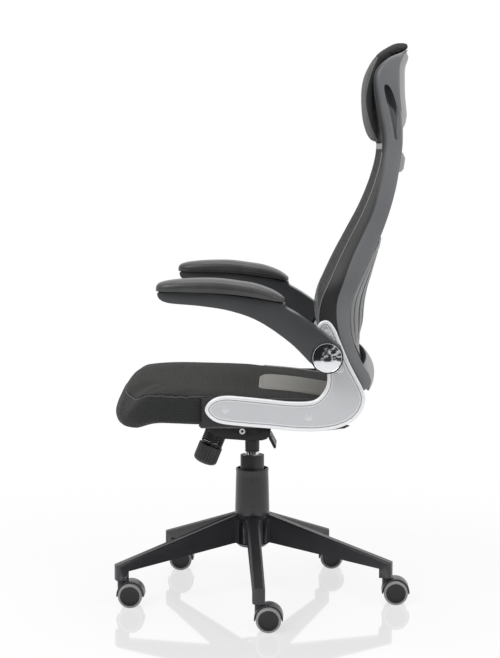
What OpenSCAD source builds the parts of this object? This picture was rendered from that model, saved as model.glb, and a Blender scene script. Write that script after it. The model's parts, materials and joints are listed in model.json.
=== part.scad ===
// High-back mesh office chair with flip-up arms on silver side brackets.
// Millimetres. +Z is up, the front of the chair faces -Y, the sitter's left is +X.
// The origin lies on the floor, on the axis of the gas lift.

/* [Castors] */
// Diameter of a castor wheel
wheel_d = 50; // [44:1:60]
// Width of one wheel
wheel_w = 20; // [16:1:24]
// Thickness of the web between the two wheels
web_w = 13; // [12:0.5:16]
// How far the axle trails behind the stem
castor_trail = 19.6; // [17:0.2:24]
// Diameter of the steel stem
stem_d = 11; // [9:0.5:11]
// Length of the stem inside the leg
stem_grip = 24; // [18:1:26]
// Diameter of the axle
axle_d = 6; // [5:0.5:8]
// Wall of the hood over the wheels
hood_wall = 2.6; // [2:0.1:4]
// Gap between the tread and the hood
hood_gap = 1; // [0.6:0.1:2]
// Thickness of the tread ring
tread_t = 2.6; // [1.6:0.1:5]

/* [Base] */
// Radius of the circle on which the castor stems stand
base_circle_r = 289; // [260:1:330]
// Turn of the first leg away from the chair's left
leg_turn = 4.4; // [0:0.1:36]
// Width of a leg
leg_w = 25; // [23:0.5:32]
// Height of the leg's end above its socket mouth
leg_end_h = 32; // [29:1:40]
// Rise of the leg's top from its end to the hub
leg_rise = 87; // [70:1:100]
// Depth of the leg at the hub
leg_root_h = 58; // [50:1:68]
// Radius of the hub
hub_r = 36; // [34:0.5:42]
// Radius of the round that joins a leg to the hub
root_round = 9; // [5:0.5:11]
// Chamfer along the top of a leg
ridge = 4; // [2:0.5:7]

/* [Column] */
// Diameter of the stand tube
tube_d = 50; // [48:0.5:52]
// Wall of the stand tube
tube_wall = 1.5; // [1.2:0.1:2.5]
// Length of the stand tube
tube_l = 192; // [184:1:198]
// Depth of the stand tube in the hub
tube_grip = 66; // [60:1:68]
// Height of the column cover
cover_h = 98; // [80:1:104]
// Outer radius of the cover at its foot
cover_foot_r = 36.5; // [35:0.5:38]
// Outer radius of the cover at its rim
cover_rim_r = 34; // [32:0.5:35]
// Wall of the cover
cover_wall = 2.6; // [2:0.1:4]
// Diameter of the pressure tube
press_d = 28; // [27:0.5:28.5]
// Wall of the pressure tube
press_wall = 1.5; // [1.2:0.1:2]
// Chrome of the pressure tube seen above the stand tube
chrome_gap = 7; // [6:1:12]
// Height of the dark collar
collar_h = 23; // [16:1:26]
// Wall of the dark collar
collar_wall = 1.1; // [0.9:0.1:2]
// Diameter of the piston rod
rod_d = 10; // [9:0.5:11]
// Length of the guide bush
bush_l = 74; // [60:1:80]
// Travel of the gas lift
lift_travel = 100; // [80:1:104]

/* [Mechanism] */
// Width of the housing
housing_w = 100; // [96:1:110]
// Wall of the housing
housing_wall = 3; // [2.5:0.1:4]
// Height of the pivot bolt above the housing floor
pivot_rise = 20; // [19:0.5:22]
// How far the pivot bolt lies in front of the column axis
pivot_front = 19; // [18:0.5:22]
// Diameter of the pivot bolt
pivot_d = 10; // [8:0.5:10]
// Height of the tilt plate above the pivot bolt
plate_rise = 22; // [21:0.5:24]
// Thickness of the tilt plate
plate_t = 3; // [2.5:0.1:4]
// Lean of the tension bolt
tension_lean = 22; // [18:0.5:24]
// Outer diameter of the tension spring
spring_d = 47.6; // [42:0.2:48]
// Wire of the tension spring
wire_d = 3.7; // [3:0.1:3.9]
// Length of the tension spring
spring_l = 46; // [42:1:47]
// Curls of the tension spring
spring_turns = 8; // [6:1:9]
// Diameter of the tension bolt
bolt_d = 8; // [7:0.5:9]
// Diameter of the tension knob
knob_d = 51; // [46:1:54]
// Length of the tension knob
knob_l = 35; // [30:1:40]
// Height of the knob's domed end
knob_dome = 7; // [4:0.5:10]
// Grooves round the knob
knob_grooves = 24; // [16:1:32]
// Depth of a groove
groove_d = 1.4; // [0.8:0.1:2]
// Diameter of the lever rod
lever_d = 8; // [7:0.5:8]
// Reach of the lever from the column axis
lever_reach = 252; // [230:1:270]
// Length of the lever paddle
paddle_l = 78; // [60:1:90]
// Depth of the lever paddle
paddle_h = 28; // [24:1:32]
// Thickness of the lever paddle
paddle_t = 11; // [10.5:0.5:14]

/* [Seat] */
// Half width of the seat cushion
seat_half_w = 245.5; // [235:0.5:250]
// Foremost point of the cushion, in front of the column axis
seat_front = 278; // [268:1:290]
// Rearmost point of the cushion, behind the column axis
seat_rear = 204; // [196:1:206]
// Height of the cushion's crown above the pan floor
seat_h = 101; // [92:1:106]
// Fall of the crown towards the sides
seat_fall = 33; // [24:1:40]
// Drop of the cushion's nose below the pan floor
nose_drop = 20; // [14:1:22]
// Thickness of the pan floor
pan_t = 8; // [6:0.5:8]
// Thickness of the pan's side walls
pan_wall = 6.5; // [5:0.5:8]
// Height of the pan's side walls above its underside
pan_wall_h = 70; // [64:1:71]
// Height of the grey inserts above the cushion
insert_t = 2.4; // [1.6:0.2:4]

/* [Side brackets] */
// Length of a bracket, front to rear
bracket_l = 314; // [300:1:322]
// Height of a bracket
bracket_h = 219; // [212:1:226]
// Thickness of a bracket
bracket_t = 14; // [11:0.5:15]
// Width of the raised rim
rim_w = 9; // [6:0.5:11]
// Height of the raised rim
rim_h = 2; // [1:0.2:3]
// Diameter of the bracket bolts
screw_d = 8; // [6:0.5:9]
// Diameter of the bracket bolts' heads
head_d = 15; // [13:0.5:18]

/* [Arms] */
// Reach of an arm from its pivot to its tip
arm_reach = 327; // [310:1:345]
// Rise of an arm from its pivot to its tip
arm_rise = 126; // [120:1:132]
// Width of an arm
arm_w = 48; // [42:1:52]
// Radius of the arm's hub
arm_hub_r = 31; // [29:0.5:33]
// Diameter of the arm's pivot bolt
arm_bolt_d = 12; // [10:0.5:14]
// Radius of the chrome cap
cap_r = 28; // [26:0.5:28.5]
// Thickness of the chrome cap
cap_t = 3.4; // [2.4:0.2:4]
// Half width of an arm pad
pad_half_w = 40; // [36:1:41]
// Thickness of an arm pad
pad_t = 27; // [22:1:30]

/* [Back] */
// Height of the back frame
back_h = 676; // [650:1:700]
// Sweep of the back frame, front to rear
back_sweep = 180; // [172:1:186]
// Half width of the back frame at the brackets
back_half_w = 245.5; // [235:0.5:250]
// Width of a rail
rail_w = 25; // [22:0.5:29]
// Bow of the headrest shell
head_bow = 19; // [14:1:24]
// Wall of the headrest shell
head_wall = 5; // [4:0.5:7]
// Thickness of the mesh
mesh_t = 1.6; // [1.2:0.1:2.4]
// Bow of the lumbar panel
lumbar_bow = 34; // [24:1:40]
// Thickness of the lumbar slats
slat_t = 5; // [4:0.5:7]
// Width of a lumbar slat
slat_w = 26; // [18:1:30]
// Half width of the headrest pad
head_half_w = 139; // [130:1:141]

/* [Hidden] */

// Clearances between pieces
run_gap = 0.05;
press_gap = 0.02;
seat_gap = 0.3;
side_gap = 0.8;
overrun = 1;

LEG_COUNT = 5;
leg_pitch = 360 / LEG_COUNT;

wheel_r = wheel_d / 2;
hood_in_r = wheel_r + hood_gap;
hood_r = hood_in_r + hood_wall;
hood_share = 0.55;
hood_half_w = web_w / 2 + side_gap + wheel_w * hood_share;
socket_z = wheel_r + hood_r + seat_gap;
leg_end_z = socket_z + leg_end_h;
hub_top_z = leg_end_z + leg_rise;
hub_foot_z = hub_top_z - leg_root_h - ridge;

tube_foot_z = hub_top_z - tube_grip;
tube_top_z = tube_foot_z + tube_l;
tube_in_r = tube_d / 2 - tube_wall;
cover_top_z = hub_top_z + cover_h;
press_r = press_d / 2;
collar_z = tube_top_z + chrome_gap;
housing_z = collar_z + collar_h;
neck_h = 8;
floor_z = housing_z + neck_h;
pivot_z = floor_z + pivot_rise;
plate_z = pivot_z + plate_rise;
pan_z = plate_z + plate_t;
cushion_z = pan_z + pan_t;

housing_half_w = housing_w / 2;
flange_in = housing_half_w + side_gap;
flange_out = flange_in + plate_t;

grey_plastic = [0.16, 0.16, 0.165];
dark_plastic = [0.07, 0.07, 0.075];
mid_plastic = [0.30, 0.30, 0.31];
silver = [0.80, 0.81, 0.83];
steel = [0.62, 0.63, 0.65];
black_steel = [0.06, 0.06, 0.065];

// Shapes shared by several pieces

function flip(points) = [for (i = [len(points) - 1 : -1 : 0]) points[i]];

// One point of a curve through four neighbours, at the share t between the middle two
function curve_point(a, b, c, d, t) =
    b + (c - a) * t / 2 + (2 * a - 5 * b + 4 * c - d) * t * t / 2 + (3 * b - a - 3 * c + d) * t * t * t / 2;

// A smooth closed loop through points, with steps pieces between neighbours
function smooth_loop(points, steps) = [
    let (n = len(points))
    for (i = [0 : n - 1], s = [0 : steps - 1])
        curve_point(points[(i + n - 1) % n], points[i], points[(i + 1) % n], points[(i + 2) % n], s / steps)
];

// A smooth open line through rows of values, with steps pieces between neighbours
function smooth_rows(rows, steps) = [
    let (m = len(rows) - 1)
    for (i = [0 : m - 1], s = [0 : steps - (i == m - 1 ? 0 : 1)])
        curve_point(rows[max(i - 1, 0)], rows[i], rows[i + 1], rows[min(i + 2, m)], s / steps)
];

// Each point of an anticlockwise loop moved inwards by a distance
function inset_loop(points, distance) = [
    let (n = len(points))
    for (i = [0 : n - 1])
        let (step = points[(i + 1) % n] - points[(i + n - 1) % n])
        points[i] + distance * [-step[1], step[0]] / norm(step)
];

function round_box(x0, x1, y0, y1, r) = [
    for (corner = [[x1 - r, y1 - r, 0], [x0 + r, y1 - r, 90], [x0 + r, y0 + r, 180], [x1 - r, y0 + r, 270]])
        for (a = [0 : 15 : 90]) [corner[0] + r * cos(corner[2] + a), corner[1] + r * sin(corner[2] + a)]
];

// A solid through rings of an even number of points, each ring anticlockwise seen from the side where
// the rings end. Its caps are strips between a ring's two halves.
module skin(rings) {
    n = len(rings[0]);
    m = len(rings);
    sides = [
        for (i = [0 : m - 2], j = [0 : n - 1])
            each [[i * n + j, (i + 1) * n + j, (i + 1) * n + (j + 1) % n],
                  [i * n + j, (i + 1) * n + (j + 1) % n, i * n + (j + 1) % n]]
    ];
    last = (m - 1) * n;
    caps = [
        for (j = [0 : n / 2 - 2])
            let (a = j, b = j + 1, c = n - 2 - j, d = n - 1 - j)
            each concat([[a, c, d], [last + d, last + c, last + a]],
                        b == c ? [] : [[a, b, c], [last + c, last + b, last + a]])
    ];
    polyhedron([for (ring = rings) each ring], concat(sides, caps), convexity = 6);
}

// A side outline in (y, z) drawn out along x from x0 to x1
module side_plate(x0, x1, outline) {
    translate([x0, 0, 0]) rotate([90, 0, 90]) linear_extrude(x1 - x0) polygon(outline);
}

// A cylinder along x from x0 to x1 at (y, z)
module x_rod(x0, x1, y, z, r) {
    translate([x0, y, z]) rotate([0, 90, 0]) cylinder(r = r, h = x1 - x0, $fn = 48);
}

module both_sides() {
    children();
    mirror([1, 0, 0]) children();
}

// Base

module star_base() {
    bore_r = tube_d / 2 + press_gap;
    nub_r = tube_d / 2 + base_lip;
    color(dark_plastic) difference() {
        union() {
            translate([0, 0, hub_foot_z]) cylinder(r = hub_r, h = hub_top_z - hub_foot_z, $fn = 72);
            translate([0, 0, tube_foot_z - base_lip])
                cylinder(r1 = nub_r, r2 = hub_r, h = hub_foot_z - tube_foot_z + base_lip, $fn = 72);
            for (i = [0 : LEG_COUNT - 1]) rotate(leg_turn + i * leg_pitch) leg();
        }
        translate([0, 0, tube_foot_z]) cylinder(r = bore_r, h = tube_l, $fn = 72);
        translate([0, 0, tube_foot_z - base_lip - overrun])
            cylinder(r = clip_room_r, h = base_lip + 2 * overrun, $fn = 72);
        for (i = [0 : LEG_COUNT - 1]) rotate(leg_turn + i * leg_pitch)
            translate([base_circle_r, 0, socket_z - overrun])
                cylinder(r = stem_d / 2 + run_gap, h = stem_grip + seat_gap + overrun, $fn = 48);
    }
}

base_lip = 3;
clip_room_r = tube_d / 2 - 2 * tube_wall;

// One leg along +x, cut from its plan, its side and its ridge
module leg() {
    half = leg_w / 2;
    end_x = base_circle_r + half;
    bend_x = hub_r + ridge;
    reach = end_x - bend_x;
    slope = atan(leg_rise / reach);
    skin_x = sqrt(hub_r * hub_r - (half + root_round) * (half + root_round));
    root_x = skin_x + root_round;
    root_foot_x = (tube_d / 2 + skin_x) / 2;
    end_round = half / 2;
    plan_half = concat(
        [[root_foot_x, half], [skin_x - overrun, half + root_round]],
        [for (a = [90 : -15 : 0]) [root_x + root_round - root_round * sin(a), half + root_round - root_round * cos(a)]],
        [for (a = [90 : -15 : 0]) [end_x - end_round + end_round * cos(a), half - end_round + end_round * sin(a)]]
    );
    plan = concat(plan_half, [for (p = flip(plan_half)) [p[0], -p[1]]]);
    belly = leg_end_h / 2.5;
    boss_x = end_x - leg_w;
    side = [
        [0, hub_top_z - leg_root_h], [bend_x, hub_top_z - leg_root_h],
        [boss_x, leg_end_z - belly], [boss_x, socket_z], [end_x, socket_z], [end_x, leg_end_z], [bend_x, hub_top_z], [0, hub_top_z]
    ];
    intersection() {
        translate([0, 0, socket_z]) linear_extrude(hub_top_z - socket_z) polygon(flip(plan));
        rotate([90, 0, 0]) translate([0, 0, -hub_r]) linear_extrude(2 * hub_r) polygon(side);
        translate([bend_x, 0, hub_top_z]) rotate([0, slope, 0]) rotate([90, 0, 90])
            translate([0, 0, -bend_x]) linear_extrude(reach + 2 * bend_x)
                polygon([[-hub_r, -2 * leg_root_h], [hub_r, -2 * leg_root_h], [hub_r, half - ridge - hub_r],
                         [half - ridge, 0], [ridge - half, 0], [-hub_r, half - ridge - hub_r]]);
    }
}

module column_cover() {
    color(dark_plastic) translate([0, 0, hub_top_z]) rotate_extrude($fn = 96) polygon([
        [cover_foot_r - cover_wall, 0], [cover_foot_r - cover_wall / 2, 0], [cover_foot_r, cover_wall / 2],
        [cover_rim_r, cover_h - cover_wall], [cover_rim_r + cover_wall / 4, cover_h - cover_wall / 2],
        [cover_rim_r, cover_h], [cover_rim_r - cover_wall, cover_h]
    ]);
}

module stand_tube() {
    color(black_steel) translate([0, 0, tube_foot_z]) rotate_extrude($fn = 96) polygon([
        [rod_d / 2 + 2 * run_gap, 0], [tube_d / 2, 0], [tube_d / 2, tube_l - tube_wall],
        [tube_d / 2 - tube_wall / 2, tube_l], [tube_in_r, tube_l],
        [tube_in_r, foot_t], [rod_d / 2 + 2 * run_gap, foot_t]
    ]);
}

// The stand tube's bottom plate, and the bearing that lies on it
foot_t = 4;
bearing_h = 7;
bearing_r = rod_d + 2 * tube_wall;
bearing_z = tube_foot_z + foot_t;
rod_shoulder_z = bearing_z + bearing_h;

module guide_bush() {
    color(grey_plastic) translate([0, 0, tube_top_z - bush_l]) difference() {
        cylinder(r = tube_in_r - press_gap, h = bush_l, $fn = 96);
        translate([0, 0, -overrun]) cylinder(r = press_r + run_gap, h = bush_l + 2 * overrun, $fn = 96);
    }
}

module thrust_bearing() {
    race = bearing_h / 3;
    ball_r = race / 2;
    ball_ring_r = (bearing_r + rod_d / 2) / 2;
    color(steel) {
        for (z = [0, bearing_h - race]) translate([0, 0, bearing_z + z]) difference() {
            cylinder(r = bearing_r, h = race - press_gap, $fn = 64);
            translate([0, 0, -overrun]) cylinder(r = rod_d / 2 + 2 * run_gap, h = race + 2 * overrun, $fn = 64);
        }
        for (i = [0 : BALLS - 1]) rotate(i * 360 / BALLS) translate([ball_ring_r, 0, bearing_z + bearing_h / 2])
            sphere(r = ball_r - press_gap, $fn = 24);
    }
}

BALLS = 10;

module retaining_clip() {
    color(steel) translate([0, 0, tube_foot_z - clip_t - press_gap]) difference() {
        cylinder(r = rod_d, h = clip_t, $fn = 64);
        translate([0, 0, -overrun]) cylinder(r = rod_neck_r + press_gap, h = clip_t + 2 * overrun, $fn = 64);
    }
}

clip_t = 1.6;
rod_neck_r = rod_d / 2 - run_gap;

// Castors

module at_castor(i) {
    rotate(leg_turn + i * leg_pitch) translate([base_circle_r, 0, 0]) rotate(-leg_turn - i * leg_pitch) children();
}

module castor_hood(i) {
    boss_z = socket_z - seat_gap;
    neck_r = stem_d / 2 + hood_wall;
    color(dark_plastic) at_castor(i) difference() {
        union() {
            translate([0, castor_trail, wheel_r]) {
                difference() {
                    x_rod(-hood_half_w, hood_half_w, 0, 0, hood_r);
                    x_rod(-hood_half_w - overrun, hood_half_w + overrun, 0, 0, hood_in_r);
                    hood_mouth();
                }
                difference() {
                    x_rod(-web_w / 2, web_w / 2, 0, 0, hood_in_r + hood_wall / 2);
                    hood_mouth();
                }
                x_rod(-web_w / 2, web_w / 2, 0, 0, axle_d);
            }
            intersection() {
                cylinder(r = neck_r, h = boss_z, $fn = 48);
                translate([-web_w / 2, -neck_r, wheel_r]) cube([web_w, 2 * neck_r, boss_z - wheel_r]);
            }
        }
        translate([0, 0, wheel_r + axle_d]) cylinder(r = stem_d / 2 + press_gap, h = hood_r, $fn = 48);
        x_rod(-web_w, web_w, castor_trail, wheel_r, axle_d / 2 + press_gap);
    }
}

// What is cut away under the hood, so that it reaches a little lower at its front
module hood_mouth() {
    translate([-hood_half_w - overrun, -hood_r - overrun, -2 * hood_r])
        cube([2 * hood_half_w + 2 * overrun, 2 * hood_r + 2 * overrun, 2 * hood_r - hood_wall]);
}

module castor_pins(i) {
    axle_half = web_w / 2 + side_gap + wheel_w * axle_share;
    color(steel) at_castor(i) {
        translate([0, 0, wheel_r + axle_d + press_gap])
            cylinder(r = stem_d / 2, h = socket_z + stem_grip - wheel_r - axle_d - press_gap, $fn = 48);
        x_rod(-axle_half, axle_half, castor_trail, wheel_r, axle_d / 2);
    }
}

axle_share = 0.8;

// A wheel and its tread ring, on one side of the web
module castor_wheel(i, side) {
    rim_r = wheel_r - tread_t;
    bore_r = axle_d / 2 + run_gap;
    dish = wheel_w / 6;
    edge = tread_t / 2;
    depth = wheel_w * axle_share + seat_gap;
    at_castor(i) translate([0, castor_trail, wheel_r]) mirror([side < 0 ? 1 : 0, 0, 0])
        translate([web_w / 2 + side_gap, 0, 0]) rotate([0, 90, 0]) {
            color(dark_plastic) rotate_extrude($fn = 64) polygon([
                [bore_r, 0], [rim_r, 0], [rim_r, wheel_w - dish / 2], [rim_r - edge, wheel_w],
                [rim_r - 2 * edge, wheel_w - dish / 2], [rim_r / 2, wheel_w - dish],
                [0, wheel_w - dish], [0, depth], [bore_r, depth]
            ]);
            color(mid_plastic) rotate_extrude($fn = 64) polygon([
                [rim_r + press_gap, edge], [wheel_r - edge, edge], [wheel_r, 2 * edge],
                [wheel_r, wheel_w - 3 * edge], [wheel_r - edge, wheel_w - edge], [rim_r + press_gap, wheel_w - edge]
            ]);
        }
}

// Gas lift

piston_r = press_r - press_wall - run_gap;
piston_h = 12;
seal_h = 16;
press_foot_z = rod_shoulder_z + rod_d;
press_top_share = 0.5;
press_top_z = floor_z + pivot_rise * press_top_share;
rod_top_z = press_foot_z + lift_travel + seal_h + 2 * piston_h;

module piston_rod() {
    color(steel) {
        translate([0, 0, tube_foot_z - 2 * clip_t]) 
            cylinder(r = rod_neck_r, h = rod_shoulder_z - tube_foot_z + 2 * clip_t, $fn = 64);
        translate([0, 0, rod_shoulder_z]) cylinder(r = rod_d / 2 + tube_wall, h = rod_d / 2, $fn = 64);
        translate([0, 0, rod_shoulder_z]) cylinder(r = rod_d / 2, h = rod_top_z - rod_shoulder_z, $fn = 64);
        translate([0, 0, rod_top_z - piston_h]) cylinder(r = piston_r, h = piston_h, $fn = 64);
    }
}

module pressure_tube() {
    in_r = press_r - press_wall;
    pin_r = pin_d / 2 + run_gap;
    h = press_top_z - press_foot_z;
    color(silver) translate([0, 0, press_foot_z]) rotate_extrude($fn = 96) polygon([
        [rod_d / 2 + run_gap, 0], [press_r, 0], [press_r, h - ridge], [press_r - press_wall / 2, h],
        [pin_r, h], [pin_r, h - seal_h], [in_r, h - seal_h], [in_r, seal_h], [rod_d / 2 + run_gap, seal_h]
    ]);
}

pin_d = 7;
pin_stand = pivot_z - lever_d / 2 - 5 * seat_gap - press_top_z;

module column_collar() {
    color(dark_plastic) translate([0, 0, collar_z]) difference() {
        cylinder(r = press_r + collar_wall, h = collar_h, $fn = 96);
        translate([0, 0, -overrun]) cylinder(r = press_r + press_gap, h = collar_h + 2 * overrun, $fn = 96);
    }
}

module release_pin() {
    color(steel) translate([0, 0, press_top_z - seal_h / 2]) cylinder(r = pin_d / 2, h = seal_h / 2 + pin_stand, $fn = 48);
}

// Tilt mechanism

tilt_max = 15;
front_y = -pivot_front - 77;
rear_y = pivot_front + 20;
slope_fall = (rear_y + pivot_front) * tan(tilt_max) + 2 * seat_gap;
wall_top_z = plate_z - plate_t;

// Points of the tension bolt's leaning line: s runs up from the top of the knob
tension_dir = [0, sin(tension_lean), cos(tension_lean)];
knob_top = [0, -pivot_front - 68, pivot_z - 37.5];
function along_tension(s) = knob_top + s * tension_dir;
module on_tension(s) { translate(along_tension(s)) rotate([-tension_lean, 0, 0]) children(); }

module mechanism_housing() {
    socket_r = press_r + 2 * housing_wall;
    nose_z = pivot_z + housing_wall;
    outline = [
        [front_y, nose_z], [front_y + 26, floor_z + 2 * housing_wall], [front_y + 37, floor_z + housing_wall],
        [-press_r, floor_z], [pivot_front + housing_wall, floor_z],
        [pivot_front + 13, floor_z + housing_wall], [rear_y, floor_z + pivot_rise / 2 + housing_wall],
        [rear_y, wall_top_z - slope_fall], [-pivot_front, wall_top_z], [front_y, wall_top_z]
    ];
    room = [
        [front_y + housing_wall, nose_z + housing_wall], [front_y + 26 + housing_wall, floor_z + 3 * housing_wall],
        [front_y + 37, floor_z + 2 * housing_wall], [-press_r, floor_z + housing_wall],
        [pivot_front, floor_z + housing_wall], [rear_y - housing_wall, floor_z + pivot_rise / 2 + 2 * housing_wall],
        [rear_y - housing_wall, plate_z], [front_y + housing_wall, plate_z]
    ];
    color(black_steel) difference() {
        union() {
            difference() {
                side_plate(-housing_half_w, housing_half_w, outline);
                side_plate(housing_wall - housing_half_w, housing_half_w - housing_wall, room);
                on_tension(-spring_l) cylinder(r = spring_d / 2 + 2 * seat_gap, h = 2 * spring_l, $fn = 64);
            }
            translate([0, 0, housing_z]) cylinder(r1 = press_r + collar_wall, r2 = socket_r, h = neck_h, $fn = 64);
            translate([0, 0, floor_z]) cylinder(r = socket_r, h = press_top_z - floor_z - housing_wall, $fn = 64);
            intersection() {
                on_tension(spring_l + press_gap) translate([housing_wall / 2 - housing_half_w, -spring_d / 2, 0])
                    cube([housing_w - housing_wall, spring_d, housing_wall]);
                side_plate(-housing_half_w, housing_half_w, outline);
            }
        }
        translate([0, 0, housing_z - overrun]) cylinder(r = press_r + press_gap, h = pivot_z, $fn = 64);
        x_rod(-housing_w, housing_w, -pivot_front, pivot_z, pivot_d / 2 + press_gap);
        x_rod(-housing_w, -housing_half_w / 2, 0, pivot_z, lever_bush_r + run_gap);
        on_tension(spring_l - overrun) translate([0, -bolt_d, 0]) bolt_slot();
    }
}

// Room for the tension bolt, which leans as the seat tilts
module bolt_slot() {
    translate([-bolt_d, -bolt_d / 4, 0]) cube([2 * bolt_d, 2 * bolt_d, 2 * overrun + 2 * housing_wall]);
}

module pivot_bolt() {
    head_r = pivot_d / 2 + 2;
    color(steel) {
        x_rod(-flange_out - plate_t, flange_out + plate_t, -pivot_front, pivot_z, pivot_d / 2);
        both_sides() x_rod(flange_out + seat_gap, flange_out + plate_t, -pivot_front, pivot_z, head_r);
    }
}

// The spring is one round wire along a rising curl, its ends running on square to the wire
wire_sides = 6;
wire_steps = 8;
curl_r = (spring_d - wire_d) / 2;
curl_rise = (spring_l - wire_d) / spring_turns;

function curl_at(t) = [curl_r * cos(360 * t), curl_r * sin(360 * t), wire_d / 2 + curl_rise * t];
function curl_way(t) =
    let (way = [-2 * PI * curl_r * sin(360 * t), 2 * PI * curl_r * cos(360 * t), curl_rise]) way / norm(way);
function wire_ring(at, way) =
    let (out = [at[0], at[1], 0] / norm([at[0], at[1]]), side = cross(out, way))
    [for (k = [0 : wire_sides - 1]) at + wire_d / 2 * (cos(360 * k / wire_sides) * out + sin(360 * k / wire_sides) * side)];

wire_points = [for (i = [0 : spring_turns * wire_steps]) curl_at(i / wire_steps)];
wire_rings = [for (i = [0 : spring_turns * wire_steps]) wire_ring(wire_points[i], curl_way(i / wire_steps))];
// The least gap between one curl's skin and the next one's, measured on the wire's points
wire_gap = min([for (i = [0 : (spring_turns - 1) * wire_steps], j = [i + wire_steps / 2 : i + 3 * wire_steps / 2])
    if (j < len(wire_points)) norm(wire_points[i] - wire_points[j])]) - wire_d;
echo(least_gap_of_the_tension_spring = wire_gap);

module tension_spring() {
    color(black_steel) on_tension(0) skin([for (ring = wire_rings) flip(ring)]);
}

bolt_top = spring_l + 12;

module tension_bolt() {
    color(steel) on_tension(-knob_l / 2) cylinder(r = bolt_d / 2, h = bolt_top + knob_l / 2, $fn = 48);
}

module tension_knob() {
    knob_r = knob_d / 2;
    edge = groove_d;
    color(dark_plastic) on_tension(-seat_gap) rotate([180, 0, 0]) difference() {
        rotate_extrude($fn = 96) polygon([
            [0, 0], [knob_r - edge, 0], [knob_r, edge], [knob_r, knob_l - 2 * edge], [knob_r - edge, knob_l],
            [knob_r * dome_shares[0], knob_l + knob_dome / 2], [knob_r * dome_shares[1], knob_l + knob_dome],
            [0, knob_l + knob_dome]
        ]);
        for (i = [0 : knob_grooves - 1]) rotate(i * 360 / knob_grooves)
            translate([knob_r + edge / 3, 0, edge * 2]) cylinder(r = edge, h = knob_l + knob_dome, $fn = 16);
        translate([0, 0, -overrun]) cylinder(r = bolt_d / 2 + run_gap, h = knob_l / 2 + overrun + seat_gap, $fn = 48);
    }
}

dome_shares = [0.8, 0.4];

plate_rear_y = rear_y + pivot_front + plate_rise;
lug_r = bolt_d + run_gap;

module tilt_plate() {
    flange_foot_z = pivot_z - pivot_rise * 0.7;
    notch_z = pivot_z + plate_rise * flange_notch_share;
    flange = [
        [front_y, plate_z + plate_t], [front_y, pivot_z + housing_wall], [front_y + 27, floor_z + pivot_rise / 2],
        [front_y + 50, flange_foot_z], [-pivot_d - housing_wall, flange_foot_z],
        [-pivot_d, flange_foot_z + housing_wall],
        [-pivot_d, notch_z], [plate_rear_y - plate_rise / 2, notch_z], [plate_rear_y, plate_z + plate_t]
    ];
    color(black_steel) difference() {
        union() {
            both_sides() side_plate(flange_in, flange_out, flange);
            side_plate(-flange_out, flange_out,
                [[front_y, plate_z], [plate_rear_y, plate_z], [plate_rear_y, pan_z], [front_y, pan_z]]);
            intersection() {
                on_tension(spring_l + housing_wall + 4 * seat_gap) cylinder(r = lug_r, h = spring_l, $fn = 48);
                side_plate(-flange_out, flange_out,
                    [[front_y, pivot_z], [0, pivot_z], [0, pan_z], [front_y, pan_z]]);
            }
        }
        x_rod(-2 * flange_out, 2 * flange_out, -pivot_front, pivot_z, pivot_d / 2 + run_gap);
        on_tension(0) cylinder(r = bolt_d / 2 + press_gap, h = bolt_top + press_gap, $fn = 48);
        seat_screw_places() translate([0, 0, plate_z - overrun])
            cylinder(r = seat_screw_d / 2 + press_gap, h = plate_t + 2 * overrun, $fn = 32);
    }
}

flange_notch_share = 0.6;

// Lever, on the sitter's right
lever_bush_r = lever_d / 2 + 2.5;
lever_bush_out = flange_in - seat_gap;
lever_pull = 12;
lever_bush_l = lever_pull + 8;
lever_play = 1;
lever_inner_x = lever_pull + pin_d / 4;

module lever_bush() {
    throat_r = lever_d / 2 + run_gap;
    color(grey_plastic) translate([-lever_bush_out, 0, pivot_z]) rotate([0, 90, 0]) rotate_extrude($fn = 64) polygon([
        [throat_r + lever_play, 0], [lever_bush_r, 0], [lever_bush_r, lever_bush_l],
        [throat_r + lever_play, lever_bush_l], [throat_r, lever_bush_l / 2]
    ]);
}

lever_fall = 52;
lever_back = 35;
lever_bend_x = flange_out + 2 * lever_d;

// The rod leaves the housing level, then runs out, down and back into the paddle
module lever_rod() {
    start = [-lever_bend_x, 0, pivot_z];
    end = [paddle_l * 3 / 4 - lever_reach, lever_back, pivot_z - lever_fall];
    run = end - start;
    color(black_steel) {
        x_rod(-lever_bend_x, lever_inner_x, 0, pivot_z, lever_d / 2);
        translate(start) sphere(r = lever_d / 2, $fn = 32);
        translate(start) rotate([0, acos(run[2] / norm(run)), atan2(run[1], run[0])])
            cylinder(r = lever_d / 2, h = norm(run), $fn = 48);
    }
}

module lever_paddle() {
    start = [-lever_bend_x, 0, pivot_z];
    end = [paddle_l * 3 / 4 - lever_reach, lever_back, pivot_z - lever_fall];
    run = end - start;
    corner = paddle_t * 0.35;
    color(dark_plastic) difference() {
        translate([-lever_reach, lever_back + paddle_h / 8, pivot_z - lever_fall - paddle_h / 3])
            rotate([-paddle_lean, 0, 0]) rotate([90, 0, 90])
                linear_extrude(paddle_l) polygon(round_box(-paddle_t / 2, paddle_t / 2, -paddle_h / 2, paddle_h / 2, corner));
        translate(start) rotate([0, acos(run[2] / norm(run)), atan2(run[1], run[0])])
            cylinder(r = lever_d / 2 + press_gap, h = norm(run) + press_gap, $fn = 48);
    }
}

paddle_lean = -18;

// Seat

seat_mid_y = (seat_rear - seat_front) / 2;
seat_half_l = (seat_rear + seat_front) / 2;
corner_front = 4.4;
corner_rear = 8;
SEAT_STEPS = 44;

// A point of the seat's outline at an angle, drawn in by a distance
function seat_edge(a, inset) =
    let (power = 2 / (sin(a) < 0 ? corner_front : corner_rear), c = cos(a), s = sin(a))
    [sign(c) * (seat_half_w - inset) * pow(abs(c), power),
     seat_mid_y + sign(s) * (seat_half_l - inset) * pow(abs(s), power)];

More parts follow.
